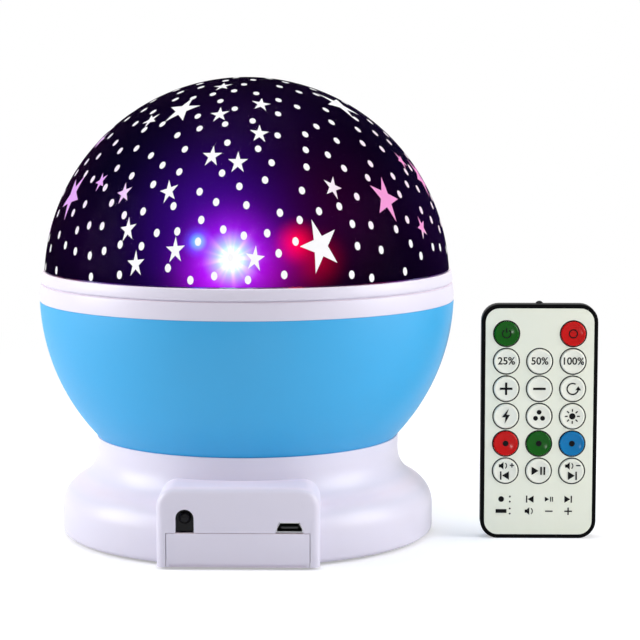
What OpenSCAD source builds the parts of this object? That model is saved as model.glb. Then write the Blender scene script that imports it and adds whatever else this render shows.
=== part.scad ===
// Star night light projector with its remote control.
// All sizes are in millimetres. The origin lies on the table under the middle of the round base,
// +Z is up, and the back panel with the power socket faces -Y. The remote stands at +X.

/* [Base] */
// Largest radius of the white base
base_r = 58.5; // [57.5:0.5:60]
// How far the neck stands out past the bowl's foot
neck_lip = 0.5; // [0.3:0.1:0.8]
// Height of the neck's top above the table
base_h = 31.2; // [30.5:0.1:33]
// Radius of the outward curve of the base's shoulder
shoulder_round = 9.5; // [8.5:0.5:10.5]
// Height of the inward curve's middle above the shoulder's middle
flare_rise = 17.5; // [16.5:0.5:19]
// Wall thickness of the base
base_wall = 2.2; // [1.8:0.1:2.4]
// Thickness of the non-slip ring under the base
foot_h = 0.8; // [0.6:0.1:1.2]
// Thickness of the bottom plate
plate_t = 2; // [1.6:0.1:2.2]

/* [Back box] */
// Width of the box on the back of the base
box_w = 48; // [47:0.5:52]
// Height of the box's top above the table
box_h = 24.5; // [23.5:0.5:26]
// How far the box's flat back stands behind the round base
box_proud = 0.3; // [0.1:0.1:1.5]
// Thickness of the box's side walls
box_side = 2.7; // [2:0.1:2.8]
// Height of the battery door's lip above the table
door_top = 10.8; // [10.6:0.1:11]

/* [Globe] */
// Radius of the blue bowl
globe_r = 65; // [64.5:0.1:66]
// Height of the bowl's middle above the table
globe_z = 76; // [75.5:0.1:77]
// Wall thickness of the bowl
globe_wall = 2; // [1.6:0.1:2.2]
// Height of the bowl's upper edge above the table
bowl_top = 74; // [73.5:0.1:75]
// Height of the fixed white rim
rim_h = 5.4; // [5.2:0.1:6]
// Height of the turning white band
band_h = 3.6; // [3.4:0.1:4.2]
// How far the star dome lies inside the bowl's largest radius
dome_inset = 1.1; // [1:0.1:1.4]
// Wall thickness of the star dome
dome_wall = 1.6; // [1.4:0.1:1.8]

/* [Stars] */
// Thickness of the printed star film
film_t = 0.4; // [0.3:0.1:0.6]
// Radius of the dot windows
dot_r = 1.1; // [0.8:0.1:1.2]
// Rows of dot windows between the rim and the pole
dot_rows = 9; // [7:1:10]

/* [Drive] */
// From the bowl's largest radius in to the ring gear's pitch circle
ring_inset = 11; // [10.8:0.1:11.2]
// Teeth of the ring gear inside the turning band
ring_teeth = 90; // [86:2:94]
// Teeth of the motor's pinion
pinion_teeth = 12; // [12:1:13]
// Width of the gears
gear_w = 4; // [3.4:0.1:4.2]
// Radius of the motor shaft
shaft_r = 1.5; // [1.2:0.1:1.6]
// Length of the gear motor under the deck
motor_len = 26; // [22:0.5:28]

/* [Light] */
// Radius of the round lamp board
lamp_board_r = 20; // [18:0.5:22]
// Distance of the lamps from the board's middle
lamp_ring_r = 15; // [13:0.5:16]
// Radius of a lamp's lens
lamp_r = 2.5; // [2.4:0.1:2.6]
// Height of the lamp board's top above the table
lamp_board_z = 84.6; // [84:0.1:86]

/* [Buttons] */
// Radius of the four buttons on the base's front
button_r = 3.5; // [3.2:0.1:3.8]
// Spacing of the buttons
button_pitch = 12; // [11.4:0.1:12.4]
// Height of the buttons' middles above the table
button_z = 8.5; // [8:0.1:8.8]

/* [Batteries] */
// Diameter of an AAA cell
cell_d = 10.5; // [10.2:0.1:10.5]
// Length of an AAA cell
cell_len = 44.5; // [43.5:0.1:44.5]

/* [Remote] */
// Width of the remote
remote_w = 36; // [35:0.5:40]
// Height of the remote, standing on its end
remote_h = 73.5; // [72:0.5:84]
// Thickness of the remote
remote_t = 6.5; // [6.4:0.1:7]
// Radius of the remote's corners
remote_corner = 5.5; // [4:0.5:6.5]
// Radius of a key
key_r = 3.8; // [3.4:0.1:3.9]
// Sideways spacing of the keys
key_pitch_x = 10.3; // [9.6:0.1:10.8]
// Spacing of the rows of keys
key_pitch_z = 8.6; // [8.5:0.1:9.2]
// Space between the globe and the remote
remote_gap = 8.2; // [6:0.1:20]
// How far the remote's face stands towards the viewer from the globe's middle
remote_front = 13.4; // [0:0.1:20]

/* [Hidden] */
$fn = 96;
gap = 0.3;          // clearance round a piece that moves or drops in
fit = 0.05;         // clearance of a piece that is pressed or screwed in
screw_r = 1.4;      // shank of the self-tapping screws
screw_hole_r = 1.5; // pilot bore for them
screw_head_r = 2.8;
screw_head_h = 1.2;

// Globe
globe_in_r = globe_r - globe_wall;
bowl_floor = base_h + globe_wall;
bowl_foot_r = sqrt(pow(globe_r, 2) - pow(globe_z - base_h, 2));
bowl_floor_r = sqrt(pow(globe_in_r, 2) - pow(globe_z - bowl_floor, 2));
bowl_edge_r = sqrt(pow(globe_r, 2) - pow(bowl_top - globe_z, 2));
dome_r = globe_r - dome_inset;
dome_in_r = dome_r - dome_wall;

// Base, worked out from its driving sizes
neck_r = bowl_foot_r + neck_lip;
bottom_round = 1.6;
shoulder_z = 9;
base_in_r = base_r - base_wall;
plate_r = base_in_r - gap;
plate_top = foot_h + plate_t;
flange_t = 2;             // inner flange at the neck's top, under the bowl
wire_hole_r = 8;
base_step = base_r - neck_r;
shoulder_c = [base_r - shoulder_round, shoulder_z];
flare_round = (pow(flare_rise, 2) / base_step - 2 * shoulder_round + base_step) / 2;
flare_c = [neck_r + flare_round, shoulder_z + flare_rise];
flare_turn = atan2(flare_rise, flare_c[0] - shoulder_c[0]);
base_boss_r = 3.6;
base_boss_at = base_r - 9;
base_screw_len = 10;
neck_hole_r = neck_r - 20; // opening of the flange under the bowl
neck_screw_at = neck_r - 9.6;
neck_screw_turns = [60, 180, 300];
neck_screw_len = 7;
neck_boss_len = 6;
foot_w = 9;
foot_out_r = base_r - 5.5;
foot_in_r = foot_out_r - foot_w;

// Back box, battery bay and door
box_reach = base_r + box_proud;
box_in = box_w / 2 - box_side;
box_skin = 2;
box_corner = 6;
box_root = neck_r - 6;    // how near the axis the box's solid starts
box_mouth = neck_r - 12;  // and its hollow
door_half = box_in - gap;
door_t = 1.2;
door_lip_t = 1.6;
door_rail = 0.8;          // how far the door's side tongues reach under the plate
bay_wall = 1.2;
bay_roof = 0.8;
bay_setback = 11.8;       // room for the socket and the receiver behind the battery bay
bay_spring = 6;           // room for the springs and contacts
bay_back = bay_setback - box_reach;
bay_end = bay_back + cell_len + bay_spring;
cell_r = cell_d / 2;
cell_z = foot_h + door_t + gap / 2 + cell_r;
bay_in_top = cell_z + cell_r + gap;
bay_top = bay_in_top + bay_roof;
bay_half = 2 * cell_d + 0.5;
bay_box = [2 * (bay_half + bay_wall), bay_end - bay_back + 2 * bay_wall];
contact_t = 0.4;
contact_half = 4;         // half the height of a contact plate
contact_side = 0.8;       // from a cell's edge to the plate's edge
cell_slack = 0.15;        // between a cell's knob and its contact
cell_knob = 1;
cell_knob_r = 1.9;
spring_len = bay_spring - 2 * contact_t - cell_slack - 0.4;
spring_r = 3.2;
spring_wire_r = 0.35;
spring_turns = 4;
socket_x = 15.1;
socket_w = 7.5;
socket_h = 2.5;
socket_deep = 5.6;
socket_wall = 0.3;
socket_back = 0.5;        // how far the socket's mouth lies inside the box's back
tongue = [5.2, 4.3, 0.6]; // contact tongue of the socket
eye_x = -15.6;            // middle of the receiver's arched window
eye_w = 5.4;
eye_h = 6.9;
eye_gap = 0.1;
eye_deep = 3;             // depth of the receiver's body
eye_back = 5.2;           // from the box's back to the body's back
lens_r = 1.9;
pin_w = 0.5;
pin_pitch = 1.6;
board_t = 1.6;
board_z = max(bay_top, door_top + 0.4 + socket_h);
board_front = -14;
board_side = 0.8;         // room beside the board
// Blocks on the board: middle, distance behind the board's front edge, width, depth, height.
board_blocks = [[-1, 20, 10, 8, 1.6], [10.5, 27, 5, 6, 1.4], [-12, 6, 8, 4, 4.6], [2, 6, 8, 4, 4.6]];
// Round capacitors: middle, distance behind the front edge, radius, height.
board_cans = [[-15, 28, 3.1, 5.4], [14, 10, 2.5, 5]];

// Buttons on the front
button_hole_r = button_r + gap;
button_flange = 0.8;
button_flange_t = 1;
button_proud = 1;
button_edge = 0.5;
button_stem_r = 2;
button_travel = 0.5;
button_play = 0.1;        // between a button's stem and its switch
button_xs = [for (i = [0:3]) (i - 1.5) * button_pitch];
switch_w = 6;
switch_h = 3.4;
plunger_r = 1.7;
plunger_h = 1;
button_rim_top = button_z + button_r + button_flange;
wall_in_r = shoulder_c[0]
    + sqrt(pow(shoulder_round - base_wall, 2) - pow(max(0, button_rim_top - shoulder_z), 2));
// Distance from the axis at which the base's wall leaves room for the flange of the button at x.
function button_seat(x) = sqrt(pow(wall_in_r, 2) - pow(abs(x) + button_r + button_flange, 2)) - gap;
stem_start = button_seat(button_xs[0]) - button_flange_t - 0.2;
key_board_y = stem_start - button_travel - button_play - plunger_h - switch_h - board_t;
key_board_half = 26;
key_board_h = 12;
stand_w = 4;
stand_t = 2;

// Speaker, between the battery bay and the key board
speaker_back = bay_end + bay_wall + 1;
speaker_front = key_board_y - 3.7;
speaker_r = (speaker_front - speaker_back) / 2;
speaker_y = (speaker_front + speaker_back) / 2;
speaker_h = 9;
speaker_rim_t = 1.5;
speaker_rim_w = 2;
basket_h = speaker_h - 4;
magnet_r = 9;
magnet_h = 4.5;
cone_end_r = magnet_r - 2.2;
cone_t = 0.6;
grille_hole_r = 1.2;
grille_pitch = 4;
grille_rings = 2;

// Rim, turning band and deck
rim_top = bowl_top + rim_h;
rim_t = 1.8;
rim_hood = 2;             // thickness of the rim's top
band_inset = 0.35;
band_edge = 0.4;
band_z = rim_top + gap;
band_top = band_z + band_h;
band_bottom_r = globe_r - band_inset;
band_top_r = dome_r + gap;
ring_pitch_r = globe_r - ring_inset;
gear_module = 2 * ring_pitch_r / ring_teeth;
skirt_in_r = ring_pitch_r + 3.4;
skirt_out_r = skirt_in_r + 2;
rim_in_r = skirt_out_r + gap;
gear_z = rim_top - gear_w - 0.2;
skirt_z = gear_z - 0.2;
deck_t = 2;
deck_z = skirt_z - 1 - deck_t;
deck_r = rim_in_r - 0.7;
deck_screw_len = 11;
post_r = 3.5;
post_at = bowl_floor_r - post_r - 1.7;
post_turns = [30, 150, 270];
web_t = 1.3;

// Reflector dish and dome
reflector_r = skirt_in_r - 0.4;
reflector_t = 1.2;
reflector_z = rim_top + 0.5;
reflector_lip = 1.4;
reflector_lip_h = 1;
column_r = 14;
column_wall = 2;
tower_top = lamp_board_z - board_t;
tower_foot = 3;           // how far the tower's foot reaches past the lamp board
tower_head = 1;
dome_seat = 0.1;
dome_z = band_top - 3.6;  // height of the dome's middle
spigot_out_r = dome_r - 0.85;
spigot_in_r = dome_in_r - 0.8;
spigot_gap = 0.2;
spigot_top = band_top + 0.8;
film_edge = spigot_top + gap;

// Gears: involute flanks at the usual pressure angle, with a little backlash
pressure_angle = 20;
backlash = 0.12;
pinion_pitch_r = pinion_teeth * gear_module / 2;
pinion_at = ring_pitch_r - pinion_pitch_r;
motor_turn = 90;          // the motor sits towards the front, away from the posts
motor_w = 12;
motor_d = 10;
motor_box = 9;            // length of the gearbox
motor_can_r = 6;
motor_end_r = 2.5;
motor_end_h = 2;
shaft_in = 5.8;           // how deep the shaft goes into the gearbox
shaft_over = 0.4;
shaft_gap = 0.08;

// Lamps round the board: turns of the white, red, green and blue one
lamp_turns = [90, 0, 250, 180];
lamp_places = [for (a = lamp_turns) polar(lamp_ring_r, a)];
lamp_len = 8.6;
lamp_flange = 0.4;
lamp_flange_h = 1;

// Remote: x and y of the middle of its front face, and the levels behind that face
remote_at = [globe_r + remote_gap + remote_w / 2, -remote_front];
remote_border = 1;
face_t = 0.8;
key_proud = 0.5;
key_flange = 0.3;
key_flange_t = 0.5;
remote_board_w = 2;       // depth of the board behind the front face
remote_board_t = 0.8;
tray_w = 3;               // depth of the battery tray behind the front face
tray_len = 25;
tray_half = 11.2;
coin_r = 10;
coin_t = 2.5;
coin_at = 13;             // height of the coin cell's middle above the remote's end
emitter_r = 1.35;
emitter_len = 4.4;
emitter_in = 0.6;         // how far the emitter's tip lies below the remote's end
remote_skin = 0.8;        // thickness of the case's back
emitter_w = (remote_board_w + remote_board_t + remote_t - remote_skin) / 2;
first_row = 9.1;          // distance of the first row of keys from the top
key_places = [
    ["key_on", 0, -1], ["key_off", 0, 1],
    ["key_dim", 1, -1], ["key_half", 1, 0], ["key_full", 1, 1],
    ["key_plus", 2, -1], ["key_minus", 2, 0], ["key_turn", 2, 1],
    ["key_flash", 3, -1], ["key_rgb", 3, 0], ["key_white", 3, 1],
    ["key_red", 4, -1], ["key_green", 4, 0], ["key_blue", 4, 1],
    ["key_back", 5, -1], ["key_play", 5, 0], ["key_next", 5, 1]
];

// ---- helpers ----

// Points along an arc, angles in degrees.
function arc(c, r, from, to, n) =
    [for (i = [0:n]) c + r * [cos(from + (to - from) * i / n), sin(from + (to - from) * i / n)]];

// A point at radius r and turn a.
function polar(r, a) = [r * cos(a), r * sin(a)];

module tube(outer_r, inner_r, h) {
    difference() {
        cylinder(r = outer_r, h = h);
        translate([0, 0, -1]) cylinder(r = inner_r, h = h + 2);
    }
}

// A self-tapping screw with its head down at z = 0 and its shank going up.
module screw_up(len) {
    cylinder(r = screw_head_r, h = screw_head_h);
    cylinder(r = screw_r, h = screw_head_h + len);
}

module screw_down(len) {
    mirror([0, 0, 1]) screw_up(len);
}

// ---- base ----

// The base's outside, or its inside at the given inset, from the bottom edge to the neck's top.
function base_side(inset) = concat(
    inset > 0 ? [[base_r - inset, foot_h - 1]]
              : arc([base_r - bottom_round, foot_h + bottom_round], bottom_round, -90, 0, 4),
    arc(shoulder_c, shoulder_round - inset, 0, flare_turn, 9),
    arc(flare_c, flare_round + inset, flare_turn + 180, 180, 8));

module base_solid(inset, top) {
    rotate_extrude() polygon(concat(
        [[0, inset > 0 ? foot_h - 1 : foot_h]], base_side(inset), [[neck_r - inset, top], [0, top]]));
}

// A box on the back, with its two upper corners rounded.
module back_block(half, bottom, top, corner, from_y, to_y) {
    translate([0, to_y, 0]) rotate([90, 0, 0]) linear_extrude(to_y - from_y)
        polygon(concat([[-half, bottom], [half, bottom]],
            arc([half - corner, top - corner], corner, 0, 90, 6),
            arc([corner - half, top - corner], corner, 90, 180, 6)));
}

module base_boss_places() {
    for (i = [0:3]) translate(concat(polar(base_boss_at, 45 + 90 * i), 0)) children();
}

// The receiver's window: a slot with a round top, open to the door below.
module eye_window(extra) {
    translate([eye_x, -box_reach + box_skin + 1, 0]) rotate([90, 0, 0]) linear_extrude(box_skin + 2)
        polygon(concat([[-eye_w / 2 - extra, door_top], [eye_w / 2 + extra, door_top]],
            arc([0, door_top + gap + eye_h - eye_w / 2], eye_w / 2 + extra, 0, 180, 16)));
}

function socket_outline(extra) = [
    [-socket_w / 2 - extra, -extra], [socket_w / 2 + extra, -extra],
    [socket_w / 2 + extra, socket_h * 0.35], [socket_w * 0.36 + extra, socket_h + extra],
    [-socket_w * 0.36 - extra, socket_h + extra], [-socket_w / 2 - extra, socket_h * 0.35]];

module base_housing() {
    color("white") difference() {
        union() {
            difference() {
                union() {
                    base_solid(0, base_h);
                    back_block(box_w / 2, foot_h, box_h, box_corner, -box_reach, -box_root);
                }
                base_solid(base_wall, base_h - flange_t);
                back_block(box_in, foot_h - 1, box_h - box_skin, box_corner - box_skin,
                    -box_reach + box_skin, -box_mouth);
            }
            intersection() {
                base_boss_places() translate([0, 0, plate_top]) cylinder(r = base_boss_r, h = base_h);
                base_solid(base_wall / 2, base_h - flange_t / 2);
            }
            for (a = neck_screw_turns)
                translate(concat(polar(neck_screw_at, a), base_h - flange_t - neck_boss_len))
                    cylinder(r = base_boss_r, h = neck_boss_len + 1);
        }
        base_boss_places() translate([0, 0, plate_top - 1])
            cylinder(r = screw_hole_r, h = base_screw_len + 1);
        for (a = neck_screw_turns)
            translate(concat(polar(neck_screw_at, a), base_h - flange_t - neck_boss_len - 1))
                cylinder(r = screw_hole_r, h = flange_t + neck_boss_len + 2);
        translate([0, 0, base_h - flange_t - 1]) cylinder(r = neck_hole_r, h = flange_t + 2);
        translate([-box_in, -box_reach - 1, foot_h - 1])
            cube([2 * box_in, box_skin + 2, door_top + gap - foot_h + 1]);
        eye_window(0);
        translate([socket_x, -box_reach + box_skin + 1, board_z - socket_h]) rotate([90, 0, 0])
            linear_extrude(box_skin + 2) polygon(socket_outline(0.15));
        for (x = button_xs) translate([x, base_r + 1, button_z]) rotate([90, 0, 0])
            cylinder(r = button_hole_r, h = 12);
    }
}

// The slot for the battery door: narrow below and wide above, so that the door's tongues hang in it.
module door_slot() {
    translate([-door_half + door_rail - gap, -base_r, foot_h - 1])
        cube([2 * (door_half - door_rail + gap), base_r + bay_end + gap, door_t + 2]);
    translate([-box_in, -base_r, foot_h + door_t / 2])
        cube([2 * box_in, base_r + bay_end + gap, plate_t + 1]);
}

module base_plate() {
    color("gainsboro") difference() {
        union() {
            translate([0, 0, foot_h]) cylinder(r = plate_r, h = plate_t);
            translate([-bay_half - bay_wall, bay_back - bay_wall, foot_h])
                cube(concat(bay_box, bay_top - foot_h));
            for (s = [-1, 1])
                translate([s * (key_board_half - stand_w / 2), key_board_y - stand_t / 2, plate_top - 1])
                    translate([-stand_w / 2, -stand_t / 2, 0]) cube([stand_w, stand_t, key_board_h]);
        }
        difference() {
            door_slot();
            translate([-bay_half - bay_wall, bay_back - bay_wall, plate_top])
                cube(concat(bay_box, bay_top));
        }
        translate([-bay_half, bay_back, foot_h + door_t / 2])
            cube([2 * bay_half, bay_end - bay_back, bay_in_top - foot_h - door_t / 2]);
        base_boss_places() {
            translate([0, 0, foot_h - 1]) cylinder(r = screw_hole_r + 0.2, h = plate_t + 2);
            translate([0, 0, foot_h - 1]) cylinder(r = screw_head_r + gap, h = screw_head_h + 1.1);
        }
        for (i = [0:grille_rings]) {
            n = max(1, 6 * i);
            for (k = [0:n - 1])
                translate([0, speaker_y, foot_h - 1] + concat(polar(i * grille_pitch, 360 * k / n), 0))
                    cylinder(r = grille_hole_r, h = plate_t + 2, $fn = 24);
        }
    }
}

module foot_ring() {
    color("dimgray") difference() {
        tube(foot_out_r, foot_in_r, foot_h);
        translate([-door_half - 1, -base_r, -1]) cube([2 * door_half + 2, base_r, foot_h + 2]);
    }
}

module base_screws() {
    color("silver") base_boss_places() translate([0, 0, foot_h + 0.05]) screw_up(base_screw_len);
}

// ---- battery bay ----

module battery_door() {
    color("white") {
        translate([-door_half, -box_reach, foot_h]) cube([2 * door_half, door_lip_t, door_top - foot_h]);
        translate([-door_half + door_rail, -box_reach, foot_h])
            cube([2 * (door_half - door_rail), box_reach + bay_end, door_t]);
        translate([-door_half, -box_reach, foot_h + door_t / 2 + 0.1])
            cube([2 * door_half, box_reach + bay_end, door_t / 2 - 0.1]);
    }
}

// Four cells side by side, every second one turned round.
module battery_cells() {
    color("goldenrod") for (i = [0:3]) {
        turned = i % 2;
        margin = contact_t + fit + cell_slack;
        start = turned ? bay_end - margin - cell_len : bay_back + margin;
        translate([(i - 1.5) * cell_d, start, cell_z]) rotate([-90, 0, 0]) {
            translate([0, 0, turned ? 0 : cell_knob]) cylinder(r = cell_r - 0.1, h = cell_len - cell_knob);
            translate([0, 0, turned ? cell_len - cell_knob : 0]) cylinder(r = cell_knob_r, h = cell_knob);
        }
    }
}

// A coil swept along a helix: one unbroken wire with six sides.
module spring_coil(coil_r, wire_r, len, turns) {
    steps = turns * 12;
    sides = 6;
    rise = len - 2 * wire_r;
    points = [for (i = [0:steps]) for (k = [0:sides - 1])
        let (a = 30 * i, r = coil_r + wire_r * cos(60 * k))
            [r * cos(a), r * sin(a), wire_r + rise * i / steps + wire_r * sin(60 * k)]];
    sides_faces = [for (i = [0:steps - 1]) for (k = [0:sides - 1])
        let (n = (k + 1) % sides, a = i * sides)
            [a + k, a + n, a + sides + n, a + sides + k]];
    polyhedron(points, concat([[for (k = [0:sides - 1]) sides - 1 - k]],
        [[for (k = [0:sides - 1]) steps * sides + k]], sides_faces));
}

// Plates at both ends of the bay, with a coil for the flat end of each cell: front and back by turns.
module battery_contacts() {
    color("silver") {
        for (y = [bay_back + fit, bay_end - contact_t - fit]) for (s = [-1, 1])
            translate([s * cell_d - cell_d + contact_side, y, cell_z - contact_half])
                cube([2 * (cell_d - contact_side), contact_t, 2 * contact_half]);
        for (i = [0:3]) {
            y = i % 2 ? bay_back + contact_t + fit : bay_end - contact_t - fit - spring_len;
            translate([(i - 1.5) * cell_d, y, cell_z]) rotate([-90, 0, 0])
                spring_coil(spring_r, spring_wire_r, spring_len, spring_turns);
        }
    }
}

// ---- boards, socket, receiver, speaker ----

module main_board() {
    color("darkgreen") difference() {
        translate([-box_in + board_side, -box_reach + box_skin + gap, board_z])
            cube([2 * (box_in - board_side), board_front + box_reach - box_skin - gap, board_t]);
        translate([eye_x - eye_w / 2 - 1, -box_reach, board_z - 1])
            cube([eye_w + 2, eye_back + board_side, board_t + 2]);
    }
}

module board_parts() {
    color("dimgray") translate([0, board_front, board_z + board_t]) {
        for (b = board_blocks)
            translate([b[0] - b[2] / 2, -b[1] - b[3] / 2, 0]) cube([b[2], b[3], b[4]]);
        for (c = board_cans) translate([c[0], -c[1], 0]) cylinder(r = c[2], h = c[3]);
    }
}

module usb_socket() {
    translate([socket_x, -box_reach + socket_back + socket_deep, board_z - socket_h]) {
        color("silver") rotate([90, 0, 0]) difference() {
            linear_extrude(socket_deep) polygon(socket_outline(0));
            translate([0, 0, socket_wall]) linear_extrude(socket_deep) polygon(socket_outline(-socket_wall));
        }
        color("black") translate([-tongue[0] / 2, -socket_wall - tongue[1], (socket_h - tongue[2]) / 2])
            cube(tongue);
    }
}

// The receiver's dark body, arched like its window, with a round lens in front and three pins behind.
module remote_receiver() {
    half = eye_w / 2 - eye_gap;
    head = door_top + gap + eye_h - eye_w / 2;
    foot = door_top + gap + eye_gap;
    color("black") translate([eye_x, -box_reach, 0]) {
        translate([0, eye_back, 0]) rotate([90, 0, 0]) linear_extrude(eye_deep)
            polygon(concat([[-half, foot], [half, foot]], arc([0, head], half, 0, 180, 16)));
        translate([0, eye_back - eye_deep, head]) sphere(r = lens_r);
        for (s = [-1, 0, 1]) translate([s * pin_pitch - pin_w / 2, eye_back - eye_gap, board_z + pin_w])
            cube([pin_w, board_side + eye_gap, pin_w]);
    }
}

module speaker_frame() {
    color("gray") translate([0, speaker_y, plate_top]) difference() {
        union() {
            cylinder(r = speaker_r, h = speaker_rim_t);
            cylinder(r1 = speaker_r - 1, r2 = magnet_r + 1, h = basket_h);
            translate([0, 0, speaker_h - magnet_h]) cylinder(r = magnet_r, h = magnet_h);
        }
        translate([0, 0, -1]) cylinder(r = speaker_r - speaker_rim_w, h = speaker_rim_t);
        translate([0, 0, 0.4])
            cylinder(r1 = speaker_r - speaker_rim_w - 0.2, r2 = magnet_r - 1, h = basket_h - 1);
    }
}

module speaker_cone() {
    cone_r = speaker_r - speaker_rim_w - cone_t;
    color("black") translate([0, speaker_y, plate_top + 0.5]) difference() {
        cylinder(r1 = cone_r, r2 = cone_end_r, h = basket_h - 1.6);
        translate([0, 0, -0.5]) cylinder(r1 = cone_r - cone_t, r2 = cone_end_r - 1, h = basket_h - 1.8);
    }
}

module key_board() {
    color("darkgreen") translate([-key_board_half, key_board_y, plate_top])
        cube([2 * key_board_half, board_t, key_board_h]);
}

module key_switches() {
    color("dimgray") for (x = button_xs) translate([x, key_board_y + board_t, button_z]) {
        translate([-switch_w / 2, 0, -switch_w / 2]) cube([switch_w, switch_h, switch_w]);
        translate([0, switch_h + plunger_h, 0]) rotate([90, 0, 0])
            cylinder(r = plunger_r, h = plunger_h + 0.5);
    }
}

// A front button: a cap through the wall, a flange that keeps it in, and a stem to its switch.
module front_button(i) {
    x = button_xs[i];
    seat = button_seat(x);
    front = sqrt(base_r * base_r - x * x) + button_proud;
    color("white") translate([x, 0, button_z]) rotate([-90, 0, 0]) rotate_extrude() polygon([
        [0, stem_start], [button_stem_r, stem_start],
        [button_stem_r, seat - button_flange_t], [button_r + button_flange, seat - button_flange_t],
        [button_r + button_flange, seat], [button_r, seat],
        [button_r, front - button_edge], [button_r - button_edge, front], [0, front]]);
}

module button_light() { front_button(0); }
module button_colour() { front_button(1); }
module button_turn() { front_button(2); }
module button_timer() { front_button(3); }

// ---- globe ----

module bowl_shell() {
    color("deepskyblue") difference() {
        union() {
            difference() {
                translate([0, 0, globe_z]) sphere(r = globe_r);
                difference() {
                    translate([0, 0, globe_z]) sphere(r = globe_in_r);
                    translate([-globe_r, -globe_r, 0]) cube([2 * globe_r, 2 * globe_r, bowl_floor]);
                }
                translate([-globe_r, -globe_r, bowl_top]) cube([2 * globe_r, 2 * globe_r, 2 * globe_r]);
                translate([-globe_r, -globe_r, -globe_r]) cube([2 * globe_r, 2 * globe_r, globe_r + base_h]);
            }
            for (a = post_turns) translate(concat(polar(post_at, a), bowl_floor - 1))
                cylinder(r = post_r, h = deck_z - bowl_floor + 1);
        }
        translate([0, 0, base_h - 1]) cylinder(r = wire_hole_r, h = 4);
        for (a = post_turns) translate(concat(polar(post_at, a), deck_z - deck_screw_len - 1))
            cylinder(r = screw_hole_r, h = deck_screw_len + 2);
        for (a = neck_screw_turns) translate(concat(polar(neck_screw_at, a), base_h - 1))
            cylinder(r = screw_hole_r + 0.2, h = 4);
    }
}

module bowl_screws() {
    color("silver") for (a = neck_screw_turns)
        translate(concat(polar(neck_screw_at, a), bowl_floor + screw_head_h)) screw_down(neck_screw_len);
}

// The fixed rim: a hooped channel that stands on the bowl's edge, open below.
module rim_ring() {
    color("white") rotate_extrude() polygon([
        [rim_in_r, deck_z - 1], [rim_in_r + rim_t, deck_z - 1], [rim_in_r + rim_t, rim_top - rim_hood],
        [bowl_edge_r - rim_t, rim_top - rim_hood], [bowl_edge_r - rim_t, bowl_top],
        [bowl_edge_r, bowl_top], [band_bottom_r, rim_top - band_edge], [band_bottom_r - band_edge, rim_top],
        [rim_in_r, rim_top]]);
}

module motor_place() {
    translate(concat(polar(pinion_at, motor_turn), 0)) children();
}

module deck_plate() {
    color("whitesmoke") difference() {
        translate([0, 0, deck_z]) cylinder(r = deck_r, h = deck_t);
        motor_place() translate([0, 0, deck_z - 1]) cylinder(r = shaft_r + 1, h = deck_t + 2);
        translate([0, 0, deck_z - 1]) cylinder(r = wire_hole_r, h = deck_t + 2);
        for (a = post_turns) translate(concat(polar(post_at, a), deck_z - 1))
            cylinder(r = screw_hole_r + 0.2, h = deck_t + 2);
    }
}

module deck_screws() {
    color("silver") for (a = post_turns)
        translate(concat(polar(post_at, a), deck_z + deck_t + screw_head_h)) screw_down(deck_screw_len);
}

// A small gear motor hung under the deck: gearbox above, round can below.
module gear_motor() {
    color("silver") motor_place() {
        difference() {
            translate([-motor_w / 2, -motor_d / 2, deck_z - motor_box]) cube([motor_w, motor_d, motor_box]);
            translate([0, 0, deck_z - shaft_in - 0.2]) cylinder(r = shaft_r + shaft_gap, h = shaft_in + 1);
        }
        translate([0, 0, deck_z - motor_len + motor_end_h]) intersection() {
            cylinder(r = motor_can_r, h = motor_len - motor_box - motor_end_h);
            translate([-motor_w, -motor_d / 2, 0]) cube([2 * motor_w, motor_d, motor_len]);
        }
        translate([0, 0, deck_z - motor_len]) cylinder(r = motor_end_r, h = motor_end_h);
    }
}

module motor_shaft() {
    color("silver") motor_place() translate([0, 0, deck_z - shaft_in])
        cylinder(r = shaft_r, h = gear_z + gear_w - deck_z + shaft_in + shaft_over);
}

// ---- gears ----

// Angle, in degrees, that an involute from base radius b has swept at radius r.
function involute_turn(b, r) = r <= b ? 0 : sqrt(pow(r / b, 2) - 1) * 180 / PI - acos(b / r);

// Half the angle of a tooth at radius r, for a gear with this pitch radius and tooth count.
function half_tooth(pitch_r, teeth, r, slack) =
    90 / teeth - slack / 2 / pitch_r * 180 / PI
    + involute_turn(pitch_r * cos(pressure_angle), pitch_r) - involute_turn(pitch_r * cos(pressure_angle), r);

// An outline with teeth between the root and tip radii, each flank in a few short steps.
function toothed(pitch_r, teeth, root_r, tip_r, slack) = [
    for (i = [0:teeth - 1]) for (s = [-1, 1]) for (k = [0:3])
        let (t = s < 0 ? k / 3 : 1 - k / 3, r = root_r + (tip_r - root_r) * t,
            a = 360 * i / teeth + s * half_tooth(pitch_r, teeth, r, slack))
                polar(r, a)];

module drive_pinion() {
    color("white") motor_place() translate([0, 0, gear_z]) difference() {
        linear_extrude(gear_w) rotate(motor_turn)
            polygon(toothed(pinion_pitch_r, pinion_teeth, pinion_pitch_r - 1.05 * gear_module,
                pinion_pitch_r + 0.8 * gear_module, backlash));
        translate([0, 0, -1]) cylinder(r = shaft_r + fit, h = gear_w + 2);
    }
}

// The gaps of the ring gear have the outline of an outward gear with the same pitch circle.
module ring_gear() {
    color("ivory") translate([0, 0, gear_z]) linear_extrude(gear_w) difference() {
        circle(r = skirt_in_r - fit);
        rotate(motor_turn)
            polygon(toothed(ring_pitch_r, ring_teeth, ring_pitch_r - 0.8 * gear_module,
                ring_pitch_r + 1.1 * gear_module, -backlash));
    }
}

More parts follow.
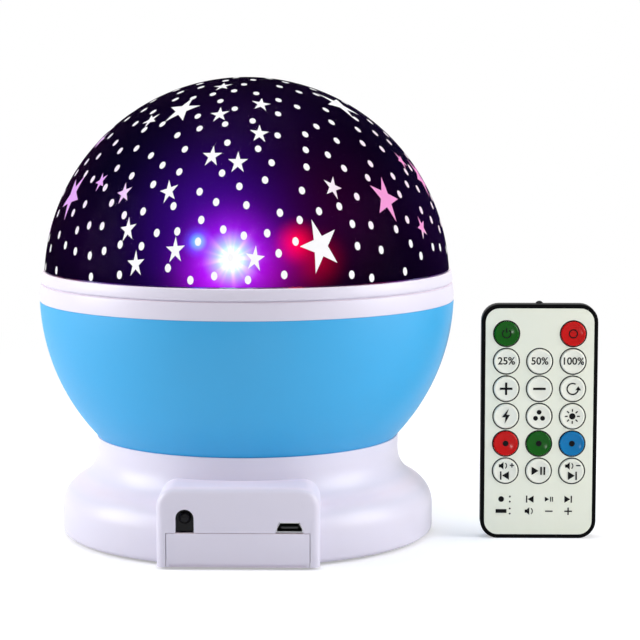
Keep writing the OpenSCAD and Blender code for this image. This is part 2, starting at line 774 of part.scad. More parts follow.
// The turning band: a visible hoop, a web that carries the dome, and a skirt for the ring gear.
module turning_band() {
    color("white") rotate_extrude() polygon([
        [skirt_in_r, skirt_z], [skirt_out_r, skirt_z], [skirt_out_r, band_z],
        [band_bottom_r - band_edge, band_z], [band_bottom_r, band_z + band_edge], [band_top_r, band_top],
        [spigot_out_r + spigot_gap, band_top], [spigot_out_r + spigot_gap, band_z + web_t],
        [skirt_in_r, band_z + web_t]]);
}

// ---- light ----

// The white dish under the dome, with the column that stands on the deck and the lamp tower on it.
module reflector() {
    color("white") difference() {
        union() {
            translate([0, 0, reflector_z]) cylinder(r = reflector_r, h = reflector_t);
            translate([0, 0, deck_z + deck_t]) cylinder(r = column_r, h = reflector_z - deck_z - deck_t + 1);
            translate([0, 0, reflector_z]) cylinder(r1 = lamp_board_r + tower_foot,
                r2 = lamp_board_r + tower_head, h = tower_top - reflector_z);
            translate([0, 0, reflector_z])
                tube(reflector_r, reflector_r - reflector_lip, reflector_t + reflector_lip_h);
        }
        translate([0, 0, deck_z]) cylinder(r = wire_hole_r, h = tower_top - deck_z + 1);
        translate([0, 0, deck_z]) cylinder(r = column_r - column_wall, h = reflector_z - deck_z);
    }
}

module lamp_board() {
    color("darkgreen") translate([0, 0, tower_top]) cylinder(r = lamp_board_r, h = board_t);
}

// A round lamp: flange, body and domed lens.
module lamp(i) {
    translate(concat(lamp_places[i], lamp_board_z)) {
        cylinder(r = lamp_r + lamp_flange, h = lamp_flange_h);
        cylinder(r = lamp_r, h = lamp_len - lamp_r);
        translate([0, 0, lamp_len - lamp_r]) sphere(r = lamp_r);
    }
}

module lamp_white() { color("ivory") lamp(0); }
module lamp_red() { color("red") lamp(1); }
module lamp_green() { color("aquamarine") lamp(2); }
module lamp_blue() { color("blue") lamp(3); }

// ---- dome ----

// A spherical shell above the height z.
module dome_shell(outer_r, inner_r, z) {
    difference() {
        translate([0, 0, dome_z]) sphere(r = outer_r);
        translate([0, 0, dome_z]) sphere(r = inner_r);
        translate([-globe_r, -globe_r, z - 3 * globe_r]) cube([2 * globe_r, 2 * globe_r, 3 * globe_r]);
    }
}

module dome_cover() {
    color([0.2, 0.15, 0.4, 0.4]) {
        dome_shell(dome_r, dome_in_r, band_top + dome_seat);
        translate([0, 0, band_z + web_t + gap])
            tube(spigot_out_r, spigot_in_r, spigot_top - band_z - web_t - gap);
    }
}

// Stars: turn round the dome from the back panel, height above the rim in degrees, size, own turn.
star_places = [
    [-32, 58, 6, 36], [23, 14, 8.6, 12], [49, 26, 6.8, 5], [-64, 26, 6.8, -15], [88, 62, 6.4, 10],
    [82, 31, 5.6, 20], [-20, 73, 3, 20], [-46, 53, 2.8, -25], [-10, 56, 3, 5], [11, 61, 3, 10],
    [8, 48, 3, 0], [-8, 39, 3.1, 5], [0, 38, 3.2, -5], [-21, 29, 3.1, -8], [-37, 28, 3, -12],
    [-49, 30, 2.6, -20], [-31, 18, 3.4, -8], [-16, 14, 3.6, 5], [-27, 10, 3.6, -5], [5, 11, 3.6, 5],
    [30, 30, 3.2, 8], [71, 37, 2.6, 15], [63, 17, 3, 15], [-82, 14, 3.4, 0], [100, 12, 4.6, 8],
    [104, 44, 3, 0]];
star_repeats = 2;
film_hem = 5.2;           // height on the dome below which the film stays whole

// The point of a window on the unit sphere.
function window_dir(turn, height) =
    [cos(height) * sin(turn), -cos(height) * cos(turn), sin(height)];

// A number between -1 and 1 that jumps about from one dot to the next.
function scatter(i) = sin(i * 137.5 + 41 * sin(i * 71));

dot_first = 4;            // height of the first row of dots, in degrees
dot_step = 9.2;
dots_round = 38;          // dots in a row at the rim
dot_swing = 3.2;          // how far a dot may lie beside its place, in degrees
dot_bounce = 2.4;         // and above or below it
dot_clear = 0.8;          // least space between a dot and a star
function dot_row(j) = dot_first + dot_step * j;
function dots_in_row(j) = round(dots_round * cos(dot_row(j)));
dot_places = [for (j = [0:dot_rows - 1]) for (k = [0:dots_in_row(j) - 1])
    [360 * (k + 0.5 * (j % 2)) / dots_in_row(j) + dot_swing * scatter(7 * j + 3 * k) / cos(dot_row(j)),
        dot_row(j) + dot_bounce * scatter(11 * j + 5 * k + 2)]];

all_stars = [for (n = [0:star_repeats - 1]) for (s = star_places)
    [s[0] + 360 * n / star_repeats, s[1], s[2], s[3]]];

// Is this dot clear of every star?
function dot_is_clear(d) =
    min([for (s = all_stars) let (c = window_dir(s[0], s[1]) * window_dir(d[0], d[1]))
        acos(min(1, c)) * PI / 180 * dome_r - s[2]]) > dot_r + dot_clear;
clear_dots = [for (d = dot_places) if (dot_is_clear(d)) d];

star_waist = 0.42;        // inner radius of a star, as a share of its outer one
function star_points(r) = [for (i = [0:9]) polar(i % 2 == 0 ? r : r * star_waist, 90 + 36 * i)];

// Puts a flat outline on the dome and pushes it through the film.
module through_film(turn, height, own_turn) {
    translate([0, 0, dome_z]) rotate([0, 0, turn]) rotate([90 - height, 0, 0])
        translate([0, 0, dome_in_r - 10 * film_t]) rotate(own_turn)
            linear_extrude(15 * film_t) children();
}

module star_film() {
    color("midnightblue") difference() {
        dome_shell(dome_in_r - fit, dome_in_r - fit - film_t, film_edge);
        for (s = all_stars) if (s[1] * PI / 180 * dome_r > s[2] + film_hem)
            through_film(s[0], s[1], s[3]) polygon(star_points(s[2]));
        for (d = clear_dots) if (d[1] * PI / 180 * dome_r > dot_r + film_hem)
            through_film(d[0], d[1], 0) circle(r = dot_r, $fn = 24);
    }
}

// ---- remote ----

// Stands the remote up: x is across, y is up, and z runs from the front face into the body.
module remote_place() {
    translate([remote_at[0], remote_at[1], 0]) mirror([0, 1, 0]) rotate([90, 0, 0]) children();
}

function remote_outline(inset) =
    let (w = remote_w / 2 - inset, b = inset, t = remote_h - inset, r = max(remote_corner - inset, 0.5))
        concat(arc([w - r, b + r], r, -90, 0, 8), arc([w - r, t - r], r, 0, 90, 8),
            arc([r - w, t - r], r, 90, 180, 8), arc([r - w, b + r], r, 180, 270, 8));

function key_at(k) = [k[2] * key_pitch_x, remote_h - first_row - k[1] * key_pitch_z];

module remote_case() {
    color("black") remote_place() difference() {
        linear_extrude(remote_t) polygon(remote_outline(0));
        translate([0, 0, -1]) linear_extrude(1 + remote_t - remote_skin)
            polygon(remote_outline(remote_border));
        translate([-tray_half - gap, -1, tray_w - gap / 2])
            cube([2 * (tray_half + gap), remote_border + 3, remote_t - remote_skin - tray_w + gap / 2]);
        translate([0, remote_h + 1, emitter_w]) rotate([90, 0, 0]) cylinder(r = emitter_r + 0.05, h = 4);
    }
}

module remote_face() {
    color("white") remote_place() difference() {
        linear_extrude(face_t) polygon(remote_outline(remote_border + 0.05));
        for (k = key_places) translate(concat(key_at(k), -1)) cylinder(r = key_r + 0.15, h = face_t + 2);
    }
}

module remote_board() {
    color("darkgreen") remote_place() translate([0, 0, remote_board_w])
        linear_extrude(remote_board_t) polygon(remote_outline(remote_border + 0.3));
}

module remote_emitter() {
    color("dimgray") remote_place() {
        translate([0, remote_h - emitter_in, emitter_w]) rotate([90, 0, 0])
            cylinder(r = emitter_r, h = emitter_len);
        translate([0, remote_h - emitter_in, emitter_w]) sphere(r = emitter_r);
    }
}

module remote_tray() {
    depth = remote_t - remote_skin - tray_w - 0.1;
    color("black") remote_place() difference() {
        translate([-tray_half, 0, tray_w]) cube([2 * tray_half, tray_len, depth]);
        translate([0, coin_at, tray_w - 1]) cylinder(r = coin_r + 0.2, h = depth + 2);
    }
}

module remote_coin_cell() {
    color("silver") remote_place() translate([0, coin_at, tray_w + 0.05]) {
        cylinder(r = coin_r, h = coin_t * 0.8);
        cylinder(r = coin_r - 1, h = coin_t);
    }
}

module remote_key(i, tint) {
    seat = face_t + fit;
    color(tint) remote_place() translate(key_at(key_places[i])) rotate_extrude() polygon([
        [0, -key_proud], [key_r - 0.5, -key_proud], [key_r, -key_proud / 2], [key_r, seat],
        [key_r + key_flange, seat], [key_r + key_flange, seat + key_flange_t], [0, seat + key_flange_t]]);
}

module key_on() { remote_key(0, "green"); }
module key_off() { remote_key(1, "red"); }
module key_dim() { remote_key(2, "white"); }
module key_half() { remote_key(3, "white"); }
module key_full() { remote_key(4, "white"); }
module key_plus() { remote_key(5, "white"); }
module key_minus() { remote_key(6, "white"); }
module key_turn() { remote_key(7, "white"); }
module key_flash() { remote_key(8, "white"); }
module key_rgb() { remote_key(9, "white"); }
module key_white() { remote_key(10, "white"); }
module key_red() { remote_key(11, "red"); }
module key_green() { remote_key(12, "green"); }
module key_blue() { remote_key(13, "dodgerblue"); }
module key_back() { remote_key(14, "white"); }
module key_play() { remote_key(15, "white"); }
module key_next() { remote_key(16, "white"); }

base_housing();
base_plate();
foot_ring();
base_screws();
battery_door();
battery_cells();
battery_contacts();
main_board();
board_parts();
usb_socket();
remote_receiver();
speaker_frame();
speaker_cone();
key_board();
key_switches();
button_light();
button_colour();
button_turn();
button_timer();
bowl_shell();
bowl_screws();
rim_ring();
deck_plate();
deck_screws();
gear_motor();
motor_shaft();
drive_pinion();
ring_gear();
turning_band();
reflector();
lamp_board();
lamp_white();
lamp_red();
lamp_green();
lamp_blue();
dome_cover();
star_film();
remote_case();
remote_face();
remote_board();
remote_emitter();
remote_tray();
remote_coin_cell();
key_on();
key_off();
key_dim();
key_half();
key_full();
key_plus();
key_minus();
key_turn();
key_flash();
key_rgb();
key_white();
key_red();
key_green();
key_blue();
key_back();
key_play();
key_next();
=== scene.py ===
"""Looks of a star night light projector and its remote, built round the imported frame.

Sizes below are in millimetres and are turned into metres by MM. The back panel faces -Y,
+Z is up, and the origin lies on the table under the middle of the base.
"""
import logging
import math
from dataclasses import dataclass, field
from enum import Enum
from typing import Callable, Iterable, Sequence

import bmesh
import bpy
from mathutils import Matrix, Vector


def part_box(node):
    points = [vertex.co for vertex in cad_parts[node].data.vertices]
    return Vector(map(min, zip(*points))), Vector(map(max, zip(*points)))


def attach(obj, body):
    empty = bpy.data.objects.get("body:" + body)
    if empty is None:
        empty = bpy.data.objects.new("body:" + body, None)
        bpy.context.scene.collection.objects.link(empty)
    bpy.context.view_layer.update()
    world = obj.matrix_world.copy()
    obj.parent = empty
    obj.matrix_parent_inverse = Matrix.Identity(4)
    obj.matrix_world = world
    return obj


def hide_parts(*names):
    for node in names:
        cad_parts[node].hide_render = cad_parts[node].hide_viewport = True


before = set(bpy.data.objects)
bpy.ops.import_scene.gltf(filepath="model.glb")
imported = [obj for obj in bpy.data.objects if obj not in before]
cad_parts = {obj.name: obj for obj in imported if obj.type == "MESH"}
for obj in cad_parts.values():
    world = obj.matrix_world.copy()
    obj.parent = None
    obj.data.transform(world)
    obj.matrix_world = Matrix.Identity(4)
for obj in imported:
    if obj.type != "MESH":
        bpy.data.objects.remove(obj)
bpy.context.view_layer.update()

MM = 0.001
NEAR = 0.01  # two places closer than this count as one, in millimetres
PAST = 1.0  # how far a cutting tool reaches past a face, in millimetres
ROUND_LARGE, ROUND_MEDIUM, ROUND_SMALL = 192, 128, 48  # stretches round a turned piece
LOG = logging.getLogger("star_projector")

Piece = bpy.types.Object
Point2 = tuple[float, float]
Point3 = tuple[float, float, float]
Colour = tuple[float, float, float]


class Side(Enum):
    """Which way a flat piece faces once it is stood up."""

    BACK = "towards -Y, the side with the battery door"
    FRONT = "towards +Y, the side with the four buttons"


class Op(Enum):
    """How one solid changes another."""

    JOIN = "UNION"
    CUT = "DIFFERENCE"


def arc(centre: Point2, radius: float, start: float, end: float, steps: int) -> list[Point2]:
    """Points along an arc.

    Args:
        centre: the arc's centre.
        radius: its radius.
        start: angle of the first point, in degrees.
        end: angle of the last point, in degrees.
        steps: number of stretches between them.

    Returns:
        The points, both ends included.
    """
    turns = [math.radians(start + (end - start) * i / steps) for i in range(steps + 1)]
    return [(centre[0] + radius * math.cos(t), centre[1] + radius * math.sin(t)) for t in turns]


def polar(radius: float, degrees: float) -> Point2:
    """The point at this radius and angle."""
    return radius * math.cos(math.radians(degrees)), radius * math.sin(math.radians(degrees))


def rounded_box(width: float, low: float, high: float, corner: float,
                steps: int = 8) -> list[Point2]:
    """Outline of an upright rectangle with round corners, centred on x = 0.

    Args:
        width: full width.
        low: height of the lower edge.
        high: height of the upper edge.
        corner: radius of the corners.
        steps: stretches in each corner.

    Returns:
        The outline, anticlockwise.
    """
    side = width / 2 - corner
    centres = [(side, low + corner), (side, high - corner),
               (-side, high - corner), (-side, low + corner)]
    return [point for i, centre in enumerate(centres)
            for point in arc(centre, corner, 90 * i - 90, 90 * i, steps)]


def latitude(height: float, radius: float) -> float:
    """The angle at which a circle of this radius reaches a height above its centre, in degrees."""
    return math.degrees(math.asin(height / radius))


class Bench:
    """Modelling moves, made with the operators that a modeller uses by hand."""

    @staticmethod
    def clear() -> None:
        """Leaves edit mode and deselects everything."""
        if bpy.context.object and bpy.context.object.mode != "OBJECT":
            bpy.ops.object.mode_set(mode="OBJECT")
        for thing in bpy.context.selected_objects:
            thing.select_set(False)

    @staticmethod
    def pick(piece: Piece) -> None:
        """Makes this piece the only selected and the active one.

        Args:
            piece: the piece.
        """
        Bench.clear()
        piece.select_set(True)
        bpy.context.view_layer.objects.active = piece

    @staticmethod
    def named(name: str) -> Piece:
        """Names the piece that an operator has just added, and its mesh.

        Args:
            name: the new name.

        Returns:
            The piece.
        """
        piece = bpy.context.active_object
        piece.name = name
        piece.data.name = name
        return piece

    @staticmethod
    def line(name: str, points: Sequence[Sequence[float]]) -> Piece:
        """Draws a line of vertices by extruding one vertex from point to point.

        Args:
            name: the piece's name.
            points: the line's points in millimetres.

        Returns:
            The piece, left in edit mode with all of it selected.
        """
        Bench.clear()
        places = [Vector(p) * MM for p in points]
        bpy.ops.mesh.primitive_plane_add(size=MM, location=(0, 0, 0))
        piece = Bench.named(name)
        bpy.ops.object.mode_set(mode="EDIT")
        bpy.ops.mesh.merge(type="CENTER")
        bpy.ops.transform.translate(value=places[0])
        for before, after in zip(places, places[1:]):
            bpy.ops.mesh.extrude_vertices_move(TRANSFORM_OT_translate={"value": after - before})
        bpy.ops.mesh.select_all(action="SELECT")
        return piece

    @staticmethod
    def lathe(name: str, outline: Sequence[Point2], steps: int) -> Piece:
        """Spins a closed outline of radius and height round the upright axis.

        Args:
            name: the piece's name.
            outline: radius and height of each point, in millimetres.
            steps: number of stretches round the axis.

        Returns:
            The spun piece in object mode.
        """
        piece = Bench.line(name, [(r, 0, z) for r, z in [*outline, outline[0]]])
        bpy.ops.mesh.spin(steps=steps, angle=math.tau, center=(0, 0, 0), axis=(0, 0, 1))
        bpy.ops.mesh.select_all(action="SELECT")
        bpy.ops.mesh.remove_doubles(threshold=0.002 * MM)
        bpy.ops.mesh.normals_make_consistent(inside=False)
        bpy.ops.object.mode_set(mode="OBJECT")
        return piece

    @staticmethod
    def slab(name: str, outline: Sequence[Point2], low: float, high: float) -> Piece:
        """Extrudes a flat outline from one height to another.

        Args:
            name: the piece's name.
            outline: x and y of each point, in millimetres.
            low: height of the lower face.
            high: height of the upper face.

        Returns:
            The slab in object mode.
        """
        piece = Bench.line(name, [(x, y, low) for x, y in outline])
        bpy.ops.mesh.edge_face_add()
        move = (0, 0, (high - low) * MM)
        bpy.ops.mesh.extrude_region_move(TRANSFORM_OT_translate={"value": move})
        bpy.ops.mesh.select_all(action="SELECT")
        bpy.ops.mesh.normals_make_consistent(inside=False)
        bpy.ops.object.mode_set(mode="OBJECT")
        return piece

    @staticmethod
    def block(name: str, low: Sequence[float], high: Sequence[float]) -> Piece:
        """A rectangular solid between two corners, in millimetres."""
        outline = [(low[0], low[1]), (high[0], low[1]), (high[0], high[1]), (low[0], high[1])]
        return Bench.slab(name, outline, low[2], high[2])

    @staticmethod
    def rod(name: str, centre: Sequence[float], radius: float, length: float) -> Piece:
        """A round rod along Y, from the centre of its first end, in millimetres.

        Args:
            name: the piece's name.
            centre: the middle of the end that starts it.
            radius: its radius.
            length: its length along Y.

        Returns:
            The rod in object mode.
        """
        Bench.clear()
        middle = Vector((centre[0], centre[1] + length / 2, centre[2])) * MM
        bpy.ops.mesh.primitive_cylinder_add(
            vertices=ROUND_SMALL, radius=radius * MM, depth=length * MM, location=middle,
            rotation=(math.pi / 2, 0, 0))
        piece = Bench.named(name)
        bpy.ops.object.transform_apply(location=True, rotation=True, scale=True)
        return piece

    @staticmethod
    def bevel(piece: Piece, test: Callable[[Vector, Vector], bool], width: float,
              steps: int) -> None:
        """Rounds the edges that a test picks.

        Args:
            piece: the piece to change.
            test: takes an edge's two ends in millimetres, and says whether to round it.
            width: the bevel's width in millimetres.
            steps: its segments.
        """
        Bench.pick(piece)
        bpy.ops.object.mode_set(mode="EDIT")
        bpy.ops.mesh.select_mode(type="EDGE")
        bpy.ops.mesh.select_all(action="DESELECT")
        mesh = bmesh.from_edit_mesh(piece.data)
        for edge in mesh.edges:
            edge.select_set(test(edge.verts[0].co / MM, edge.verts[1].co / MM))
        bmesh.update_edit_mesh(piece.data)
        bpy.ops.mesh.bevel(offset=width * MM, segments=steps, profile=0.5, clamp_overlap=True)
        bpy.ops.mesh.select_mode(type="VERT")
        bpy.ops.object.mode_set(mode="OBJECT")

    @staticmethod
    def modify(piece: Piece, kind: str, **settings: object) -> None:
        """Adds a modifier with these settings and applies it.

        Args:
            piece: the piece to change.
            kind: the modifier's type.
            settings: values for its attributes.
        """
        Bench.pick(piece)
        modifier = piece.modifiers.new(kind.title(), kind)
        for name, value in settings.items():
            setattr(modifier, name, value)
        bpy.ops.object.modifier_apply(modifier=modifier.name)

    @staticmethod
    def combine(piece: Piece, tool: Piece, op: Op) -> None:
        """Joins a tool to the piece or cuts it out, and removes the tool."""
        Bench.modify(piece, "BOOLEAN", operation=op.value, object=tool, solver="EXACT")
        bpy.data.objects.remove(tool)

    @staticmethod
    def cut(piece: Piece, *tools: Piece) -> None:
        """Cuts each tool out of the piece."""
        for tool in tools:
            Bench.combine(piece, tool, Op.CUT)

    @staticmethod
    def gather(name: str, pieces: Sequence[Piece]) -> Piece:
        """Joins several pieces into one mesh under a new name.

        Args:
            name: the new name.
            pieces: the pieces, which become one.

        Returns:
            The joined piece.
        """
        Bench.clear()
        for piece in pieces:
            piece.select_set(True)
        bpy.context.view_layer.objects.active = pieces[0]
        bpy.ops.object.join()
        return Bench.named(name)

    @staticmethod
    def copy(piece: Piece, name: str, place: Matrix) -> Piece:
        """A copy with its own mesh, moved by a matrix.

        Args:
            piece: the piece to copy.
            name: the copy's name.
            place: the matrix that moves its mesh.

        Returns:
            The copy.
        """
        twin = piece.copy()
        twin.data = piece.data.copy()
        twin.name = name
        twin.data.name = name
        twin.data.transform(place)
        bpy.context.scene.collection.objects.link(twin)
        return twin

    @staticmethod
    def smooth(piece: Piece, degrees: float = 30) -> Piece:
        """Shades the piece smooth, except across edges sharper than this angle.

        Args:
            piece: the piece.
            degrees: the angle.

        Returns:
            The same piece.
        """
        Bench.pick(piece)
        bpy.ops.object.shade_smooth_by_angle(angle=math.radians(degrees))
        Bench.clear()
        return piece

    @staticmethod
    def stand(side: Side, place: Sequence[float]) -> Matrix:
        """The move that stands a flat piece up, its +Z face turned to a side.

        Args:
            side: where the face looks afterwards.
            place: where the flat piece's own origin goes, in millimetres.

        Returns:
            The matrix, for a mesh in metres.
        """
        turn = Matrix.Rotation(math.radians(90), 4, "X")
        if side is Side.FRONT:
            turn = Matrix.Rotation(math.pi, 4, "Z") @ turn
        return Matrix.Translation(Vector(place) * MM) @ turn

    @staticmethod
    def text(name: str, words: str, height: float) -> Piece:
        """Plain figures as a flat mesh, centred on the origin and facing +Z.

        Args:
            name: the piece's name.
            words: the figures.
            height: size of the type in millimetres.

        Returns:
            The mesh piece.
        """
        Bench.clear()
        bpy.ops.object.text_add(location=(0, 0, 0))
        piece = Bench.named(name)
        piece.data.body = words
        piece.data.size = height * MM
        piece.data.align_x = "CENTER"
        piece.data.align_y = "CENTER"
        piece.data.extrude = 0.03 * MM
        piece.data.offset = 0.05 * MM
        bpy.ops.object.convert(target="MESH")
        return Bench.named(name)


class Term:
    """A value or vector on a node tree that is used in plain arithmetic."""

    def __init__(self, paint: "Paint", socket: bpy.types.NodeSocket) -> None:
        """Keeps the paint it belongs to and the socket that gives the value."""
        self.paint = paint
        self.socket = socket

    def _math(self, operation: str, *others: object) -> "Term":
        """A Math node of this operation on this value and others."""
        return self.paint.node("ShaderNodeMath", {"operation": operation}, [self, *others])

    def __add__(self, other: object) -> "Term":
        """Sum."""
        return self._math("ADD", other)

    __radd__ = __add__

    def __sub__(self, other: object) -> "Term":
        """Difference."""
        return self._math("SUBTRACT", other)

    def __rsub__(self, other: object) -> "Term":
        """Difference, the other way round."""
        return self._math("MULTIPLY", -1.0)._math("ADD", other)

    def __mul__(self, other: object) -> "Term":
        """Product."""
        return self._math("MULTIPLY", other)

    def __pow__(self, other: object) -> "Term":
        """Power."""
        return self._math("POWER", other)

    def root(self) -> "Term":
        """Square root."""
        return self._math("SQRT")

    def absolute(self) -> "Term":
        """The value without its sign."""
        return self._math("ABSOLUTE")

    def sine(self) -> "Term":
        """Sine of the value in radians."""
        return self._math("SINE")

    def rise(self, start: float, end: float) -> "Term":
        """A soft step from 0 at start to 1 at end; end may be below start.

        Args:
            start: where it is 0.
            end: where it is 1.

        Returns:
            The step.
        """
        settings = {"interpolation_type": "SMOOTHSTEP", "clamp": True}
        if end < start:
            return 1 - self.paint.node("ShaderNodeMapRange", settings, [self, end, start, 0.0, 1.0])
        return self.paint.node("ShaderNodeMapRange", settings, [self, start, end, 0.0, 1.0])


class Paint:
    """One material's node tree, built from a Principled shader."""

    def __init__(self, name: str) -> None:
        """Starts a new material under this name.

        Args:
            name: the material's name.
        """
        self.material = bpy.data.materials.new(name)
        self.material.use_nodes = True
        self.tree = self.material.node_tree
        self.shader = self.tree.nodes["Principled BSDF"]
        self.output = self.tree.nodes["Material Output"]

    def node(self, kind: str, settings: dict, values: object, out: object = 0) -> Term:
        """Adds a node, sets it up and gives one of its outputs.

        Args:
            kind: the node's type.
            settings: attributes that are set first.
            values: numbers, vectors or terms, as a list by place or a dict by socket name.
            out: name or number of the output to give.

        Returns:
            The output as a term.
        """
        made = self.tree.nodes.new(kind)
        for name, value in settings.items():
            setattr(made, name, value)
        pairs = values.items() if isinstance(values, dict) else enumerate(values)
        for key, value in pairs:
            self.feed(made.inputs[key], value)
        return Term(self, made.outputs[out])

    def feed(self, socket: bpy.types.NodeSocket, value: object) -> None:
        """Links a term to a socket, or sets the socket to a constant.

        Args:
            socket: the socket.
            value: a term, a number, a vector or a colour.
        """
        if isinstance(value, Term):
            self.tree.links.new(value.socket, socket)
        elif isinstance(value, (tuple, list)) and socket.type == "RGBA" and len(value) == 3:
            socket.default_value = (*value, 1)
        else:
            socket.default_value = value

    def shade(self, **values: object) -> None:
        """Sets the Principled shader's sockets; a name's underscores stand for spaces."""
        for name, value in values.items():
            self.feed(self.shader.inputs[name.replace("_", " ")], value)

    def where(self) -> Term:
        """The place on the piece, in metres."""
        return self.node("ShaderNodeTexCoord", {}, [], "Object")

    def axes(self) -> tuple[Term, Term, Term]:
        """X, Y and Z of the place on the piece, in millimetres.

        Returns:
            The three terms.
        """
        split = self.node("ShaderNodeSeparateXYZ", {}, [self.where()])
        outs = split.socket.node.outputs
        return tuple(Term(self, outs[i]) * (1 / MM) for i in range(3))

    def upward(self) -> Term:
        """How far the surface faces up, up to 1."""
        facing = self.node("ShaderNodeTexCoord", {}, [], "Normal")
        return self.node("ShaderNodeSeparateXYZ", {}, [facing], "Z")

    def noise(self, size: float, detail: float = 3, stretch: Sequence[float] = (1, 1, 1)) -> Term:
        """Soft noise around 0.5.

        Args:
            size: width of its patches in millimetres.
            detail: how many finer layers it has.
            stretch: scale along each axis.

        Returns:
            The noise from 0 to 1.
        """
        place = self.node("ShaderNodeMapping", {}, {"Vector": self.where(), "Scale": stretch})
        values = {"Vector": place, "Scale": 1 / (size * MM), "Detail": detail}
        return self.node("ShaderNodeTexNoise", {}, values)

    def mix(self, share: object, first: object, second: object) -> Term:
        """A colour between two colours."""
        return self.node("ShaderNodeMix", {"data_type": "RGBA"}, {0: share, 6: first, 7: second}, 2)

    def tint(self, colour: object, strength: Term) -> Term:
        """A colour, fixed or worked out, scaled by a value."""
        values = {0: colour, "Scale": strength}
        return self.node("ShaderNodeVectorMath", {"operation": "SCALE"}, values)

    def sum(self, *colours: Term) -> Term:
        """Colours added up.

        Args:
            colours: the colours to add.

        Returns:
            The sum.
        """
        total = colours[0]
        for colour in colours[1:]:
            total = self.node("ShaderNodeVectorMath", {"operation": "ADD"}, [total, colour])
        return total

    def bump(self, height: Term, depth: float, strength: float = 1.0) -> Term:
        """A normal from a height, which is depth millimetres deep at 1."""
        values = {"Height": height, "Distance": depth * MM, "Strength": strength}
        return self.node("ShaderNodeBump", {}, values)


@dataclass(frozen=True)
class Moulded:
    """A moulded plastic or rubber: nearly even colour, faint clouds, fine grain."""

    name: str
    colour: Colour
    roughness: float = 0.3
    clouds: float = 0.04
    grain: float = 0.012
    grain_size: float = 0.5
    specular: float = 0.5
    # Painted light: a colour mixed into upward-facing surfaces, as if they were lit from above.
    painted_top_light: Colour | None = None

    def material(self) -> bpy.types.Material:
        """Builds the material.

        Returns:
            The material.
        """
        paint = Paint(self.name)
        cloud = paint.noise(28, 2)
        fine = paint.noise(self.grain_size, 2)
        darker = tuple(c * (1 - self.clouds) for c in self.colour)
        lighter = tuple(min(1.0, c * (1 + self.clouds)) for c in self.colour)
        colour = paint.mix(cloud, darker, lighter)
        # Painted light: upward-facing surfaces turn lighter and pinker, standing in for light from
        # above.
        if self.painted_top_light:
            colour = paint.mix(paint.upward().rise(0.6, 0.98), colour, self.painted_top_light)
        paint.shade(
            Base_Color=colour,
            Roughness=fine * 0.08 + cloud * 0.06 + (self.roughness - 0.07),
            Specular_IOR_Level=self.specular,
            Normal=paint.bump(fine, self.grain),
        )
        return paint.material


@dataclass(frozen=True)
class Plated:
    """Drawn or plated metal with fine lines along one direction."""

    name: str
    colour: Colour
    roughness: float = 0.3
    stretch: tuple[float, float, float] = (0.08, 1, 1)

    def material(self) -> bpy.types.Material:
        """Builds the material.

        Returns:
            The material.
        """
        paint = Paint(self.name)
        lines = paint.noise(0.4, 3, self.stretch)
        dull = paint.noise(6, 3)
        paint.shade(
            Base_Color=paint.mix(dull, tuple(c * 0.82 for c in self.colour), self.colour),
            Metallic=1.0,
            Roughness=lines * 0.2 + (self.roughness - 0.1),
            Normal=paint.bump(lines, 0.01),
        )
        return paint.material


@dataclass(frozen=True)
class Board:
    """Solder mask over copper tracks."""

    name: str
    mask: Colour = (0.02, 0.16, 0.06)
    track: Colour = (0.05, 0.3, 0.12)

    def material(self) -> bpy.types.Material:
        """Builds the material.

        Returns:
            The material.
        """
        paint = Paint(self.name)
        x, y, z = paint.axes()
        lanes = ((x + z) * 2.6).sine() * ((y + z * 0.5) * 2.1).sine()
        tracks = lanes.rise(0.25, 0.4)
        paint.shade(
            Base_Color=paint.mix(tracks, self.mask, self.track),
            Roughness=0.42 - tracks * 0.1,
            Normal=paint.bump(tracks, 0.03),
        )
        return paint.material


@dataclass(frozen=True)
class Lens:
    """A lit lamp lens: brightest at its crown."""

    name: str
    colour: Colour
    power: float
    low: float = 84.6
    high: float = 93.2

    def material(self) -> bpy.types.Material:
        """Builds the material.

        Returns:
            The material.
        """
        paint = Paint(self.name)
        height = paint.axes()[2]
        lit = height.rise(self.low, self.high)
        paint.shade(
            Base_Color=paint.mix(lit, tuple(c * 0.5 + 0.2 for c in self.colour), (1, 1, 1)),
            Roughness=0.12 + paint.noise(1.2, 2) * 0.06,
            Emission_Color=paint.tint(self.colour, lit * 0.8 + 0.2),
            Emission_Strength=self.power,
        )
        return paint.material


@dataclass(frozen=True)
class Glow:
    """One soft glow painted on the dome's print, for lamp light seen through it from the side that
    a group of lamps faces.
    """

    colour: Colour
    across: float
    height: float
    reach: float
    squash: float = 1.0
    sharpness: float = 1.0


# Painted light: halos, bright cores and haze of the lamps as seen through the print, painted on it
# as emission.
GLOWS: tuple[Glow, ...] = (
    Glow((0.54, 0.011, 1.07), -1, 91, 26),
    Glow((0.056, 0.002, 0.30), -6, 97, 42, 0.9),
    Glow((0.0, 0.001, 0.010), -22, 104, 56, 0.9),
    Glow((0.020, 0.0, 0.015), 22, 102, 40),
    Glow((0.146, 0.0, 0.064), 12, 88, 20),
    Glow((0.145, 0.0, 0.173), -8, 84, 22),
    Glow((0.006, 0.001, 0.018), 0, 128, 46),
    Glow((0.004, 0.0, 0.009), -45, 96, 34),
    Glow((0.0, 1.35, 0.25), -1.2, 91.8, 9.5, sharpness=0.6),
    Glow((0.62, 0.45, 0.35), -1.2, 91.6, 4.6, sharpness=0.35),
    Glow((0.0, 0.10, 1.0), -11, 96.4, 5.8, sharpness=0.6),
    Glow((0.0, 0.55, 0.5), -11, 96.5, 3.0, sharpness=0.4),
    Glow((1.0, 0.0, 0.0), 17, 96.2, 8.5, sharpness=0.7),
    Glow((0.30, 0.0, 0.0), 23, 91, 13),
)


